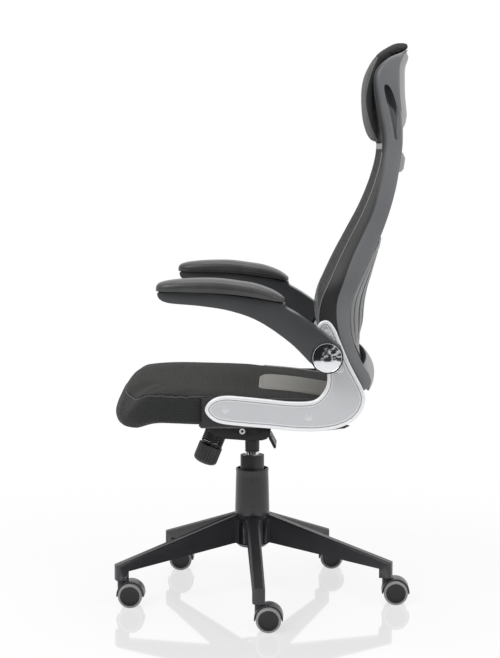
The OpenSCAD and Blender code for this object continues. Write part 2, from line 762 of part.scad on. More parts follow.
// Height of the cushion's upper side over the pan floor, along the middle and across
crown_shares = [
    [-1, 0.84], [-0.88, 0.91], [-0.72, 0.97], [-0.52, 1], [-0.2, 0.99], [0.09, 0.97],
    [0.235, 0.93], [0.484, 0.88], [0.655, 0.825], [0.76, 0.79], [1, 0.73]
];
function crown(x, y) =
    seat_h * lookup((y - seat_mid_y) / seat_half_l, crown_shares) - seat_fall * pow(abs(x) / seat_half_w, crown_power);
crown_power = 1.3;

// Rings of the cushion from its underside to its crown, at its sides and at its front: inset, then height
// as a share of the pan's rise, or below the pan floor of the nose's drop, and as a share of the edge height
side_rows = [
    [54, 0, 0], [30, 0.5, 0], [9, 0.95, 0], [3, 1, 0.09], [0, 0.8, 0.28], [0.6, 0.3, 0.69], [2.8, 0, 0.91],
    [1.8, 0, 0.945], [7, 0, 0.98], [20, 0, 1]
];
front_rows = [
    [54, 0, 0], [34, -1, 0], [17, -1, 0], [6, -0.25, 0], [1, 0, 0.17], [5, 0, 0.32], [14.6, 0, 0.53],
    [14, 0, 0.57], [30, 0, 0.83], [52, 0, 1]
];
function front_share(a) = let (t = min(max((-sin(a) - 0.4) / 0.45, 0), 1)) t * t * (3 - 2 * t);
// Inset and height of a ring at an angle
function edge_inset(i, a) = side_rows[i][0] + (front_rows[i][0] - side_rows[i][0]) * front_share(a);
function edge_rise(row, high) = row[1] * (row[1] < 0 ? nose_drop : pan_rise) + row[2] * high;
function edge_height(i, a, high) =
    edge_rise(side_rows[i], high) + (edge_rise(front_rows[i], high) - edge_rise(side_rows[i], high)) * front_share(a);
edge_last = len(side_rows) - 1;

module seat_cushion() {
    angles = [for (i = [0 : SEAT_STEPS - 1]) i * 360 / SEAT_STEPS + 360 / SEAT_STEPS / 2];
    function rim(a) = seat_edge(a, edge_inset(edge_last, a));
    sides = [for (i = [0 : edge_last]) [for (a = angles)
        let (p = seat_edge(a, edge_inset(i, a)), q = rim(a))
        [p[0], p[1], cushion_z + seat_gap + edge_height(i, a, crown(q[0], q[1]) - seat_gap)]]];
    tops = [for (s = [0.85, 0.7, 0.5, 0.3, 0.1]) [for (a = angles)
        let (q = rim(a), x = q[0] * s, y = seat_mid_y + (q[1] - seat_mid_y) * s)
        [x, y, cushion_z + crown(x, y)]]];
    color([0.10, 0.10, 0.10]) difference() {
        skin(concat(sides, tops));
        both_sides() translate([pan_wall_x - seat_gap, pan_wall_front - seat_gap, pan_z])
            cube([2 * pan_wall, pan_wall_rear - pan_wall_front + 2 * seat_gap, pan_wall_h + seat_gap]);
        both_sides() crown_panel(seat_gap, -insert_sink, seat_h / 4);
    }
}

pan_out_x = seat_half_w + 0.5;
pan_wall_x = pan_out_x - pan_wall;
pan_wall_front = -91;
pan_wall_rear = 135;
pan_inset = 10;
pan_flare = 50;
pan_tongue = 115;
pan_rise = 14;

module seat_pan() {
    front = -seat_front + 62;
    rear = seat_rear + 1;
    half = pan_wall_x + pan_wall / 2;
    flat = pan_out_x - pan_flare;
    // Its floor turns up at the sides and, behind, in a slope
    tray = [[-half, pan_z + pan_rise], [-flat, pan_z], [flat, pan_z], [half, pan_z + pan_rise],
            [half, pan_z + pan_rise + pan_t], [flat, cushion_z], [-flat, cushion_z], [-half, pan_z + pan_rise + pan_t]];
    heel = [[front, pan_z], [rear - pan_flare, pan_z], [rear, pan_z + pan_rise], [rear, pan_z + pan_rise + pan_t],
            [front, pan_z + pan_rise + pan_t]];
    color(dark_plastic) difference() {
        union() {
            intersection() {
                rotate([90, 0, 0]) translate([0, 0, -rear]) linear_extrude(rear - front) polygon(tray);
                translate([0, 0, pan_z]) linear_extrude(pan_rise + pan_t)
                    union() {
                        polygon(round_box(-half, half, pan_wall_front - pan_inset, rear, 5 * pan_inset));
                        polygon(round_box(-pan_tongue, pan_tongue, front, 0, 3 * pan_inset));
                    }
                side_plate(-half, half, heel);
            }
            both_sides() side_plate(pan_wall_x, pan_out_x, [
                [pan_wall_front, pan_z + pan_rise], [pan_wall_rear, pan_z + pan_rise],
                [pan_wall_rear, pan_z + pan_wall_h], [pan_wall_front, pan_z + pan_wall_h]]);
        }
        seat_screw_places() translate([0, 0, pan_z - overrun])
            cylinder(r = seat_screw_d / 2 + press_gap, h = pan_t + 2 * overrun, $fn = 32);
        both_sides() for (place = seat_bolt_places) x_rod(0, pan_out_x + overrun, place[0], place[1], screw_d / 2 + press_gap);
    }
}

seat_screw_d = 6;
seat_screw_x = 37;
module seat_screw_places() {
    for (x = [-seat_screw_x, seat_screw_x], y = [-pivot_front - 26, plate_rear_y - 3 * seat_screw_d])
        translate([x, y, 0]) children();
}

module seat_screws() {
    color(steel) seat_screw_places() {
        translate([0, 0, plate_z]) cylinder(r = seat_screw_d / 2, h = plate_t + pan_t, $fn = 32);
        translate([0, 0, plate_z - plate_t - press_gap]) cylinder(r = seat_screw_d, h = plate_t, $fn = 32);
    }
}

// A grey panel let into the cushion's top, near its rear side, and the pocket that it lies in
insert_x = [66, 178];
insert_y = [18, 168];
insert_sink = 2;
INSERT_STEPS = 8;

module crown_panel(grow, low, high) {
    corner = insert_t * 7;
    rings = [for (i = [0 : INSERT_STEPS])
        let (t = i / INSERT_STEPS, y = insert_y[0] - grow + (insert_y[1] - insert_y[0] + 2 * grow) * t,
             x0 = insert_x[0] - grow + (i == 0 ? corner : 0), x1 = insert_x[1] + grow)
        concat(
            [for (j = [0 : INSERT_STEPS]) let (x = x0 + (x1 - x0) * j / INSERT_STEPS) [x, y, cushion_z + crown(x, y) + high]],
            [for (j = [INSERT_STEPS : -1 : 0]) let (x = x0 + (x1 - x0) * j / INSERT_STEPS) [x, y, cushion_z + crown(x, y) + low]]
        )];
    skin(rings);
}

module seat_insert() {
    color([0.42, 0.41, 0.39]) crown_panel(0, seat_gap - insert_sink, insert_t - seat_gap);
}

// Side brackets

bracket_y = -84.5;
bracket_z = pan_z + pan_t + seat_gap;
bracket_in = pan_out_x + press_gap;
bracket_out = bracket_in + bracket_t;

// Outline of a bracket as shares of its length and height, anticlockwise seen from the left
bracket_shares = [
    [0, 0.195], [0.03, 0.115], [0.10, 0.065], [0.25, 0.04], [0.41, 0.022], [0.56, 0.002], [0.70, 0], [0.82, 0.025],
    [0.915, 0.085], [0.975, 0.175], [0.999, 0.285], [0.98, 0.395], [0.905, 0.60], [0.845, 0.80], [0.81, 0.92],
    [0.765, 0.992], [0.715, 0.975], [0.69, 0.89], [0.70, 0.76], [0.745, 0.62], [0.762, 0.51], [0.755, 0.40],
    [0.715, 0.31], [0.655, 0.268], [0.53, 0.264], [0.40, 0.281], [0.25, 0.302], [0.12, 0.312], [0.04, 0.275]
];
bracket_outline = smooth_loop(
    [for (s = bracket_shares) [bracket_y + s[0] * bracket_l, bracket_z + s[1] * bracket_h]], 3);

function on_bracket(share) = [bracket_y + share[0] * bracket_l, bracket_z + share[1] * bracket_h];
seat_bolt_shares = [[0.13, 0.19], [0.648, 0.125]];
back_bolt_shares = [[0.765, 0.88], [0.84, 0.56]];
arm_hub_share = [0.76, 0.69];
seat_bolt_places = [for (s = seat_bolt_shares) on_bracket(s)];
back_bolt_places = [for (s = back_bolt_shares) on_bracket(s)];
arm_hub = on_bracket(arm_hub_share);

arm_in = bracket_out + 4;
arm_out = arm_in + arm_w;

module bracket() {
    boss_r = arm_hub_r - 4;
    color(silver) difference() {
        union() {
            side_plate(bracket_in, bracket_out - rim_h, bracket_outline);
            difference() {
                side_plate(bracket_in, bracket_out, bracket_outline);
                side_plate(bracket_in - overrun, bracket_out + overrun, inset_loop(bracket_outline, rim_w));
            }
            x_rod(bracket_in, arm_in - seat_gap, arm_hub[0], arm_hub[1], boss_r);
        }
        for (place = concat(seat_bolt_places, back_bolt_places))
            x_rod(bracket_in - overrun, bracket_out + overrun, place[0], place[1], screw_d / 2 + press_gap);
        x_rod(bracket_in - overrun, arm_in + overrun, arm_hub[0], arm_hub[1], arm_bolt_d / 2 + press_gap);
    }
}

// The heads stand on the brackets' faces, and the shanks end in the pan's walls and the rails
module bracket_bolts() {
    head_h = rim_h * 1.6;
    face = bracket_out - rim_h + press_gap;
    color(silver) both_sides() {
        for (place = seat_bolt_places) {
            x_rod(pan_wall_x + seat_gap, face, place[0], place[1], screw_d / 2);
            x_rod(face, face + head_h, place[0], place[1], head_d / 2);
        }
        for (place = back_bolt_places) {
            x_rod(bracket_in - rail_bolt_l, face, place[0], place[1], screw_d / 2);
            x_rod(face, face + head_h, place[0], place[1], head_d / 2);
        }
    }
}

rail_bolt_l = 14;

// Arms

// Under and upper line of an arm from its tip to its hub, as shares of its reach and rise
arm_under_shares = [[1.0, 0.97], [0.985, 0.885], [0.925, 0.825], [0.75, 0.785], [0.57, 0.71], [0.40, 0.55], [0.22, 0.23], [0.10, -0.08]];
arm_upper_shares = [[-0.085, 0.14], [0.04, 0.41], [0.16, 0.63], [0.245, 0.76], [0.26, 0.825], [0.45, 0.915], [0.70, 0.985], [0.995, 1.0]];

function on_arm(share) = [arm_hub[0] - share[0] * arm_reach, arm_hub[1] + share[1] * arm_rise];

module arm() {
    under = smooth_rows([for (s = arm_under_shares) on_arm(s)], 4);
    upper = smooth_rows([for (s = arm_upper_shares) on_arm(s)], 2);
    pocket = cap_t + 6;
    color(grey_plastic) difference() {
        union() {
            side_plate(arm_in, arm_out, concat(under, upper));
            x_rod(arm_in, arm_out, arm_hub[0], arm_hub[1], arm_hub_r);
        }
        x_rod(arm_in - overrun, arm_out, arm_hub[0], arm_hub[1], arm_bolt_d / 2 + run_gap);
        x_rod(arm_out - pocket, arm_out + overrun, arm_hub[0], arm_hub[1], cap_r - 4);
    }
}

// The pivot bolt, its head in the arm's pocket
module arm_bolt() {
    head_h = 5;
    seat = arm_out - cap_t - 6 + run_gap;
    color(steel) {
        x_rod(bracket_in + seat_gap, seat, arm_hub[0], arm_hub[1], arm_bolt_d / 2);
        x_rod(seat, seat + head_h, arm_hub[0], arm_hub[1], arm_bolt_d);
    }
}

// A domed disc whose spigot sits in the arm's pocket
module hub_cap() {
    spigot_r = cap_r - 4 - press_gap;
    color([0.9, 0.9, 0.92]) translate([arm_out + press_gap, arm_hub[0], arm_hub[1]]) rotate([0, 90, 0])
        rotate_extrude($fn = 96) polygon([
            [spigot_r - 2, -cap_t], [spigot_r, -cap_t], [spigot_r, 0], [cap_r, 0],
            [cap_r, cap_t / 3], [cap_r * cap_shares[0], cap_t * cap_shares[0]], [cap_r * cap_shares[1], cap_t], [0, cap_t],
            [0, seat_gap], [spigot_r - 2, seat_gap]
        ]);
}

cap_shares = [0.8, 0.4];

// Rows of an arm pad from its front: reach, seam height, thickness and width as shares
pad_rows = [
    [1.008, 1.0, 0.34, 0.45], [0.998, 1.0, 0.52, 0.66], [0.978, 0.998, 0.64, 0.80], [0.93, 0.995, 0.78, 0.93],
    [0.82, 0.992, 0.92, 1.0], [0.66, 0.98, 1.0, 1.0], [0.52, 0.95, 0.94, 1.0], [0.42, 0.915, 0.90, 1.0],
    [0.33, 0.87, 0.72, 0.96], [0.285, 0.85, 0.50, 0.86], [0.258, 0.84, 0.30, 0.62], [0.25, 0.835, 0.18, 0.42]
];
PAD_SIDES = 9;

module arm_pad() {
    mid = (arm_in + arm_out) / 2;
    power = 0.62;
    rings = [for (row = pad_rows)
        let (at = on_arm([row[0], row[1]]), half = pad_half_w * row[3], h = pad_t * row[2], z = at[1] + 2 * seat_gap)
        concat(
            [for (k = [0 : PAD_SIDES]) let (a = 180 * k / PAD_SIDES)
                [mid - sign(cos(a)) * half * pow(abs(cos(a)), power), at[0], z + h * 0.3 + h * 0.7 * pow(sin(a), power)]],
            [[mid + half * 0.9, at[0], z], [mid - half * 0.9, at[0], z]]
        )];
    color(grey_plastic) skin(rings);
}

// Back

back_z = pan_z + 78;
back_y = arm_hub[0] - 17;

// Rows of the frame from its foot: height, then front edge, band edge, rear edge, and half width, as shares
rail_rows = [
    [0.012, 0.35, 0.49, 0.575, 0.968], [0.048, 0.23, 0.44, 0.578, 0.980], [0.090, 0.145, 0.353, 0.49, 0.995],
    [0.130, 0.083, 0.283, 0.422, 1.0], [0.165, 0.039, 0.239, 0.372, 1.0], [0.222, 0.0, 0.2, 0.344, 1.0],
    [0.275, 0.028, 0.206, 0.372, 1.0], [0.328, 0.111, 0.272, 0.444, 0.986], [0.393, 0.222, 0.361, 0.561, 0.925],
    [0.460, 0.35, 0.483, 0.67, 0.85], [0.526, 0.478, 0.603, 0.77, 0.79], [0.595, 0.586, 0.683, 0.85, 0.735],
    [0.660, 0.661, 0.742, 0.894, 0.695], [0.714, 0.694, 0.761, 0.922, 0.665], [0.763, 0.678, 0.75, 0.928, 0.652],
    [0.819, 0.639, 0.706, 0.914, 0.640], [0.874, 0.606, 0.672, 0.894, 0.635], [0.925, 0.606, 0.661, 0.889, 0.618],
    [0.955, 0.667, 0.706, 0.889, 0.597], [0.979, 0.778, 0.806, 0.906, 0.562], [0.993, 0.90, 0.917, 0.95, 0.510]
];
rail_values = smooth_rows(rail_rows, 2);

function row_z(row) = back_z + row[0] * back_h;
function row_front(row) = back_y + row[1] * back_sweep;
function row_band(row) = back_y + row[2] * back_sweep;
function row_rear(row) = back_y + row[3] * back_sweep;
function row_half(row) = row[4] * back_half_w;
// The rows' values at a height share
function rail_at(share) = [share, for (k = [1 : 4]) lookup(share, [for (row = rail_rows) [row[0], row[k]]])];

band_in_share = 0.24;
groove_share = 0.32;

module rail() {
    skin([for (row = rail_values)
        let (z = row_z(row), out = row_half(row), front = row_front(row), band = row_band(row), rear = row_rear(row),
             depth = rear - front)
        [
            [out - rail_w * band_in_share, front, z], [out, band, z], [out - rail_w * band_in_share / 2, rear, z],
            [out - rail_w, rear - depth / 12, z], [out - rail_w, front + depth * groove_share, z],
            [out - rail_w * (band_in_share + groove_share), front, z]
        ]]);
}

// A curved wall from rail to rail, between two heights, its rear bowed past the rails
bar_sink = 2.5;
module bowed_bar(low_share, high_share, bow, wall) {
    steps = 12;
    shares = [for (i = [0 : 4]) low_share + (high_share - low_share) * i / 4];
    skin([for (j = [0 : steps])
        let (u = 2 * j / steps - 1)
        concat(
            [for (s = shares) let (row = rail_at(s), x = u * (row_half(row) - rail_w / 2))
                [x, row_rear(row) - bar_sink + bow * (1 - u * u), row_z(row)]],
            [for (s = flip(shares)) let (row = rail_at(s), x = u * (row_half(row) - rail_w / 2))
                [x, row_rear(row) - bar_sink - wall + bow * (1 - u * u), row_z(row)]]
        )]);
}

// The slot in each side of the headrest shell, as shares of the frame's height and sweep, and its floor
slot_x = back_half_w * 0.575;
slot_shares = [
    [0.737, 0.849], [0.749, 0.872], [0.815, 0.872], [0.845, 0.844], [0.873, 0.811], [0.894, 0.766], [0.897, 0.722],
    [0.882, 0.716], [0.852, 0.738], [0.824, 0.772], [0.794, 0.794], [0.765, 0.811], [0.743, 0.827]
];

module back_frame() {
    color(mid_plastic) difference() {
        union() {
            both_sides() rail();
            bowed_bar(head_low_share, head_high_share, head_bow, head_wall);
            bowed_bar(neck_low_share, neck_high_share, neck_bow, head_wall * 2);
            bowed_bar(foot_low_share, foot_high_share, foot_bow, head_wall * 2);
            front_bar();
        }
        both_sides() side_plate(slot_x, back_half_w, [for (s = slot_shares) [back_y + s[1] * back_sweep, back_z + s[0] * back_h]]);
        both_sides() for (place = back_bolt_places)
            x_rod(bracket_in - rail_bolt_l - seat_gap, bracket_in + overrun, place[0], place[1], screw_d / 2 + press_gap);
    }
}

head_low_share = 0.768;
head_high_share = 0.985;
neck_low_share = 0.642;
neck_high_share = 0.706;
foot_low_share = 0.016;
foot_high_share = 0.082;
foot_bow = 20;
neck_bow = 18;
bar_low_share = 0.716;
bar_high_share = 0.736;

// The bar across the front, from which the mesh hangs
module front_bar() {
    low = rail_at(bar_low_share);
    high = rail_at(bar_high_share);
    half = row_half(low) - rail_w / 2;
    side_plate(-half, half, [
        [row_front(low), row_z(low)], [row_front(low) + head_wall * 2, row_z(low)],
        [row_front(high) + head_wall * 2, row_z(high)], [row_front(high), row_z(high)]]);
}

mesh_low_share = 0.085;
mesh_high_share = bar_low_share - 0.0015;
MESH_STEPS = 24;

module back_mesh() {
    rows = [for (i = [0 : MESH_STEPS]) rail_at(mesh_low_share + (mesh_high_share - mesh_low_share) * i / MESH_STEPS)];
    color([0.05, 0.05, 0.055]) skin([for (row = rows)
        let (half = row_half(row) - rail_w * (band_in_share + groove_share) - mesh_t * 2, y = row_front(row) + mesh_t, z = row_z(row))
        [[-half, y, z], [half, y, z], [half, y + mesh_t, z], [-half, y + mesh_t, z]]]);
}

lumbar_low_share = 0.112;
lumbar_high_share = 0.436;
// Bow of the lumbar panel from its foot to its top
lumbar_shares = [[0, 0.05], [0.07, 0.32], [0.2, 0.82], [0.33, 1], [0.48, 1], [0.58, 0.94], [0.68, 0.85], [0.78, 0.72], [1, 0.52]];
SLATS = 7;

// Rear face of the lumbar panel at a height share and a share of the half width
function lumbar_point(share, u) =
    let (row = rail_at(share), fade = lookup((share - lumbar_low_share) / (lumbar_high_share - lumbar_low_share), lumbar_shares),
         in_x = row_half(row) - rail_w - seat_gap)
    [u * in_x, row_rear(row) + lumbar_bow * fade * (1 - u * u), row_z(row)];

module lumbar_panel() {
    steps = 10;
    pitch = 2 / (SLATS + 1);
    span = lumbar_high_share - lumbar_low_share;
    edge = span / 10;
    color(mid_plastic) union() {
        for (k = [1 : SLATS]) skin([for (i = [0 : steps])
            let (p = lumbar_point(lumbar_low_share + edge / 2 + (span - edge) * i / steps, k * pitch - 1))
            [[p[0] - slat_w / 2, p[1] - slat_t, p[2]], [p[0] + slat_w / 2, p[1] - slat_t, p[2]],
             [p[0] + slat_w / 2, p[1], p[2]], [p[0] - slat_w / 2, p[1], p[2]]]]);
        for (low = [lumbar_low_share, lumbar_high_share - edge]) skin([for (j = [0 : 2 * steps])
            let (u = j / steps - 1, a = lumbar_point(low, u), b = lumbar_point(low + edge, u))
            [[a[0], a[1] + slat_t / 4, a[2]], [b[0], b[1] + slat_t / 4, b[2]],
             [b[0], b[1] - slat_t * 5 / 4, b[2]], [a[0], a[1] - slat_t * 5 / 4, a[2]]]]);
    }
}

// Rows of the headrest pad from its foot: height, seam line, crown line and half width, as shares
head_rows = [
    [0.738, 0.700, 0.680, 0.60], [0.745, 0.690, 0.645, 0.78], [0.755, 0.678, 0.600, 0.88], [0.773, 0.655, 0.553, 0.95],
    [0.805, 0.625, 0.510, 1.0], [0.85, 0.605, 0.489, 1.0], [0.895, 0.602, 0.492, 1.0], [0.93, 0.612, 0.520, 0.98],
    [0.955, 0.655, 0.560, 0.94], [0.978, 0.742, 0.620, 0.89], [0.995, 0.850, 0.690, 0.82], [1.012, 0.965, 0.790, 0.70],
    [1.026, 0.965, 0.870, 0.46]
];
HEAD_SIDES = 13;

module headrest_pad() {
    rows = smooth_rows(head_rows, 2);
    power = 0.42;
    color([0.12, 0.12, 0.12]) skin([for (row = rows)
        let (z = back_z + row[0] * back_h, back = back_y + row[1] * back_sweep - seat_gap * 2,
             deep = (row[1] - row[2]) * back_sweep, half = head_half_w * row[3])
        [for (k = [HEAD_SIDES : -1 : 0]) let (a = 180 * k / HEAD_SIDES)
            [sign(cos(a)) * half * pow(abs(cos(a)), power), back - deep * pow(sin(a), power), z]]]);
}

star_base();
column_cover();
stand_tube();
guide_bush();
thrust_bearing();
retaining_clip();
castor_hood(0);  // castor_1_hood
castor_pins(0);  // castor_1_pins
castor_wheel(0, 1);  // castor_1_wheel_left
castor_wheel(0, -1);  // castor_1_wheel_right
castor_hood(1);  // castor_2_hood
castor_pins(1);  // castor_2_pins
castor_wheel(1, 1);  // castor_2_wheel_left
castor_wheel(1, -1);  // castor_2_wheel_right
castor_hood(2);  // castor_3_hood
castor_pins(2);  // castor_3_pins
castor_wheel(2, 1);  // castor_3_wheel_left
castor_wheel(2, -1);  // castor_3_wheel_right
castor_hood(3);  // castor_4_hood
castor_pins(3);  // castor_4_pins
castor_wheel(3, 1);  // castor_4_wheel_left
castor_wheel(3, -1);  // castor_4_wheel_right
castor_hood(4);  // castor_5_hood
castor_pins(4);  // castor_5_pins
castor_wheel(4, 1);  // castor_5_wheel_left
castor_wheel(4, -1);  // castor_5_wheel_right
piston_rod();
pressure_tube();
column_collar();
release_pin();
mechanism_housing();
pivot_bolt();
tension_spring();
tension_bolt();
tension_knob();
tilt_plate();
lever_bush();
lever_rod();
lever_paddle();
seat_pan();
seat_screws();
seat_cushion();
seat_insert();  // seat_insert_left
mirror([1, 0, 0]) seat_insert();  // seat_insert_right
bracket();  // bracket_left
mirror([1, 0, 0]) bracket();  // bracket_right
bracket_bolts();
arm();  // arm_left
mirror([1, 0, 0]) arm();  // arm_right
arm_pad();  // arm_pad_left
mirror([1, 0, 0]) arm_pad();  // arm_pad_right
arm_bolt();  // arm_bolt_left
mirror([1, 0, 0]) arm_bolt();  // arm_bolt_right
hub_cap();  // hub_cap_left
mirror([1, 0, 0]) hub_cap();  // hub_cap_right
back_frame();
back_mesh();
lumbar_panel();
headrest_pad();
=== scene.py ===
"""High-back mesh office chair: its looks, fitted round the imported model.

Lengths below are millimetres unless they end up in a mesh, which is in metres. +Z is up, the
front of the chair faces -Y and the sitter's left is +X.
"""
import json
import math

import bmesh
import bpy
import numpy as np
from mathutils import Matrix, Vector
from mathutils.bvhtree import BVHTree


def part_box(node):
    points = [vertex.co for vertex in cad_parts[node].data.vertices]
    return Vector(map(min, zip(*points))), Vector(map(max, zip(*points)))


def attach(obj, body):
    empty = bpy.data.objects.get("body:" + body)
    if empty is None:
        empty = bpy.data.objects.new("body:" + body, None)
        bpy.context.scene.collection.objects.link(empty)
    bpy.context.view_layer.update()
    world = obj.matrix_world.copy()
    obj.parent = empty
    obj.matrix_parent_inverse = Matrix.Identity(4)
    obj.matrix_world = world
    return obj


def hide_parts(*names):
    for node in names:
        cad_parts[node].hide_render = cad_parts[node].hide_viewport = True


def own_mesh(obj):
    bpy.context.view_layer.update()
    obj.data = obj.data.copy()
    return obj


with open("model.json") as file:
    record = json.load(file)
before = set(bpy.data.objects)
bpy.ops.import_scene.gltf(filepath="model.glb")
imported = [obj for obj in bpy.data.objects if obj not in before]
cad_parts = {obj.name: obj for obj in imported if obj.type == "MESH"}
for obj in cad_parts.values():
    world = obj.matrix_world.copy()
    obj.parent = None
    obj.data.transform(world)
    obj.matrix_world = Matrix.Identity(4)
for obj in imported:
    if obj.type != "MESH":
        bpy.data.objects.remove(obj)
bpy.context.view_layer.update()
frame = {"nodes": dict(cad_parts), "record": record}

MM = 0.001
scene = bpy.context.scene


# Selecting and shaping

def leave():
    if bpy.context.mode != "OBJECT":
        bpy.ops.object.mode_set(mode="OBJECT")
    bpy.ops.object.select_all(action="DESELECT")


def only(obj):
    leave()
    obj.select_set(True)
    bpy.context.view_layer.objects.active = obj
    return obj


def select_all():
    bpy.ops.mesh.select_all(action="SELECT")


def edit(obj):
    """Opens a piece with nothing selected."""
    only(obj)
    bpy.ops.object.mode_set(mode="EDIT")
    bpy.ops.mesh.select_mode(type="VERT")
    bpy.ops.mesh.select_all(action="DESELECT")


def select_rims():
    """Selects only the edges with a face on one side."""
    bpy.ops.mesh.select_all(action="DESELECT")
    bpy.ops.mesh.select_non_manifold(extend=False, use_wire=False, use_boundary=True, use_multi_face=False,
                                     use_non_contiguous=False, use_verts=False)


def select_faces(test):
    bpy.ops.mesh.select_mode(type="FACE")
    mesh = bmesh.from_edit_mesh(bpy.context.object.data)
    for face in mesh.faces:
        if test(face):
            face.select_set(True)
    bmesh.update_edit_mesh(bpy.context.object.data)


def called(obj, name):
    obj.name = name
    obj.data.name = name
    return obj


def shape(obj, kind, **settings):
    """Adds a modifier, sets it and applies it."""
    only(obj)
    tool = obj.modifiers.new(kind.title(), kind)
    for key, value in settings.items():
        setattr(tool, key, value)
    bpy.ops.object.modifier_apply(modifier=tool.name)
    return obj


def soften(obj, width, segments, angle):
    """Rounds every edge that is sharper than an angle."""
    return shape(obj, "BEVEL", width=width * MM, segments=segments, limit_method="ANGLE",
                 angle_limit=math.radians(angle), harden_normals=False)


def smooth(obj, angle=32):
    only(obj)
    bpy.ops.object.shade_smooth_by_angle(angle=math.radians(angle))
    leave()
    return obj


def face_out():
    select_all()
    bpy.ops.mesh.normals_make_consistent(inside=False)


def close(obj):
    """Merges doubles, fills what is open and turns every face outwards."""
    edit(obj)
    select_all()
    bpy.ops.mesh.remove_doubles(threshold=2e-6)
    select_rims()
    bpy.ops.mesh.fill_holes(sides=0)
    face_out()
    leave()
    return obj


def move(obj, matrix):
    obj.data.transform(matrix)
    if matrix.determinant() < 0:
        obj.data.flip_normals()
    obj.data.update()
    return obj


def copy(obj, name, matrix=None):
    twin = bpy.data.objects.new(name, obj.data.copy())
    twin.data.name = name
    scene.collection.objects.link(twin)
    return move(twin, matrix) if matrix else twin


def joined(first, *others):
    only(first)
    for other in others:
        other.select_set(True)
    bpy.ops.object.join()
    leave()
    return first


MIRROR = Matrix.Scale(-1, 4, (1, 0, 0))


def shifted(x, y, z):
    return Matrix.Translation((x * MM, y * MM, z * MM))


# Lines and rows

def ease(t):
    return t * t * (3 - 2 * t)


def even_angles(count):
    """Angles an even step apart, half a step off zero."""
    return [2 * math.pi * (k + 0.5) / count for k in range(count)]


def curve_point(a, b, c, d, t):
    return b + (c - a) * t / 2 + (2 * a - 5 * b + 4 * c - d) * t * t / 2 + (3 * b - a - 3 * c + d) * t ** 3 / 2


def smooth_loop(points, steps):
    """A smooth closed line through points."""
    rows, count = np.array(points, float), len(points)
    return [curve_point(rows[i - 1], rows[i], rows[(i + 1) % count], rows[(i + 2) % count], s / steps)
            for i in range(count) for s in range(steps)]


def smooth_rows(points, steps):
    """A smooth open line through rows of values."""
    rows, last = np.array(points, float), len(points) - 1
    line = [curve_point(rows[max(i - 1, 0)], rows[i], rows[i + 1], rows[min(i + 2, last)], s / steps)
            for i in range(last) for s in range(steps)]
    return line + [rows[last]]


def even(line, gap):
    """The same closed line with points an even gap apart."""
    line = np.array([*line, line[0]], float)
    steps = np.concatenate([[0], np.cumsum(np.linalg.norm(np.diff(line, axis=0), axis=1))])
    places = np.linspace(0, steps[-1], max(3, int(round(steps[-1] / gap))) + 1)[:-1]
    return [np.array([np.interp(s, steps, column) for column in line.T]) for s in places]


def look_up(value, rows):
    """The values of the columns after the first at a place in the first column."""
    table = np.array(rows, float)
    found = [float(np.interp(value, table[:, 0], column)) for column in table.T[1:]]
    return found[0] if len(found) == 1 else found


def rounded(corners, radius, steps):
    """A polygon with each corner drawn as an arc of a set number of points."""
    corners = [np.array(c, float) for c in corners]
    radii = radius if hasattr(radius, "__len__") else [radius] * len(corners)
    line = []
    for i, corner in enumerate(corners):
        before, after = corners[i - 1] - corner, corners[(i + 1) % len(corners)] - corner
        reach = min(radii[i], 0.48 * np.linalg.norm(before), 0.48 * np.linalg.norm(after))
        start = corner + before / max(np.linalg.norm(before), 1e-9) * reach
        end = corner + after / max(np.linalg.norm(after), 1e-9) * reach
        for t in (s / steps for s in range(steps + 1)):
            line.append((1 - t) ** 2 * start + 2 * t * (1 - t) * corner + t * t * end)
    return line


# Pieces from a primitive

def turned(name, rows, sides=96, ring=False):
    """A circle drawn out along z through rows of radius and height; a ring is joined end to start."""
    radius, height = rows[0]
    leave()
    bpy.ops.mesh.primitive_circle_add(vertices=sides, radius=radius * MM, location=(0, 0, 0))
    obj = called(bpy.context.object, name)
    move(obj, shifted(0, 0, height))
    edit(obj)
    select_all()
    for wide, high in rows[1:]:
        bpy.ops.mesh.extrude_region_move(TRANSFORM_OT_translate={"value": (0, 0, (high - height) * MM)})
        bpy.ops.transform.resize(value=(wide / radius, wide / radius, 1), center_override=(0, 0, high * MM))
        radius, height = wide, high
    if ring:
        select_rims()
        bpy.ops.mesh.bridge_edge_loops()
    return close(obj)


ALONG_X = Matrix.Rotation(math.radians(90), 4, "Y")


def along(start, way):
    """The placement that stands a turned piece at a point, its z along a direction."""
    return shifted(*start) @ Vector(way).to_track_quat("Z", "Y").to_matrix().to_4x4()


def plate(name, outline, x0, x1):
    """A side outline of (y, z) filled and drawn out along x, still open to edits on its far face."""
    leave()
    bpy.ops.mesh.primitive_circle_add(vertices=len(outline), radius=1, fill_type="NGON", location=(0, 0, 0))
    obj = called(bpy.context.object, name)
    for vertex, (y, z) in zip(obj.data.vertices, outline):
        vertex.co = (x0 * MM, y * MM, z * MM)
    edit(obj)
    select_all()
    bpy.ops.mesh.extrude_region_move(TRANSFORM_OT_translate={"value": ((x1 - x0) * MM, 0, 0)})
    return obj


def skin(name, rings, around=True):
    """A grid laid ring by ring through points; around joins each ring's end to its start and fills both ends."""
    count = len(rings[0]) + (1 if around else 0)
    leave()
    bpy.ops.mesh.primitive_grid_add(x_subdivisions=count - 1, y_subdivisions=len(rings) - 1, size=1, location=(0, 0, 0))
    obj = called(bpy.context.object, name)
    points = [point for ring in rings for point in list(ring) + (list(ring)[:1] if around else [])]
    obj.data.vertices.foreach_set("co", np.array(points, np.float32).ravel() * MM)
    obj.data.update()
    if around:
        close(obj)
    return obj


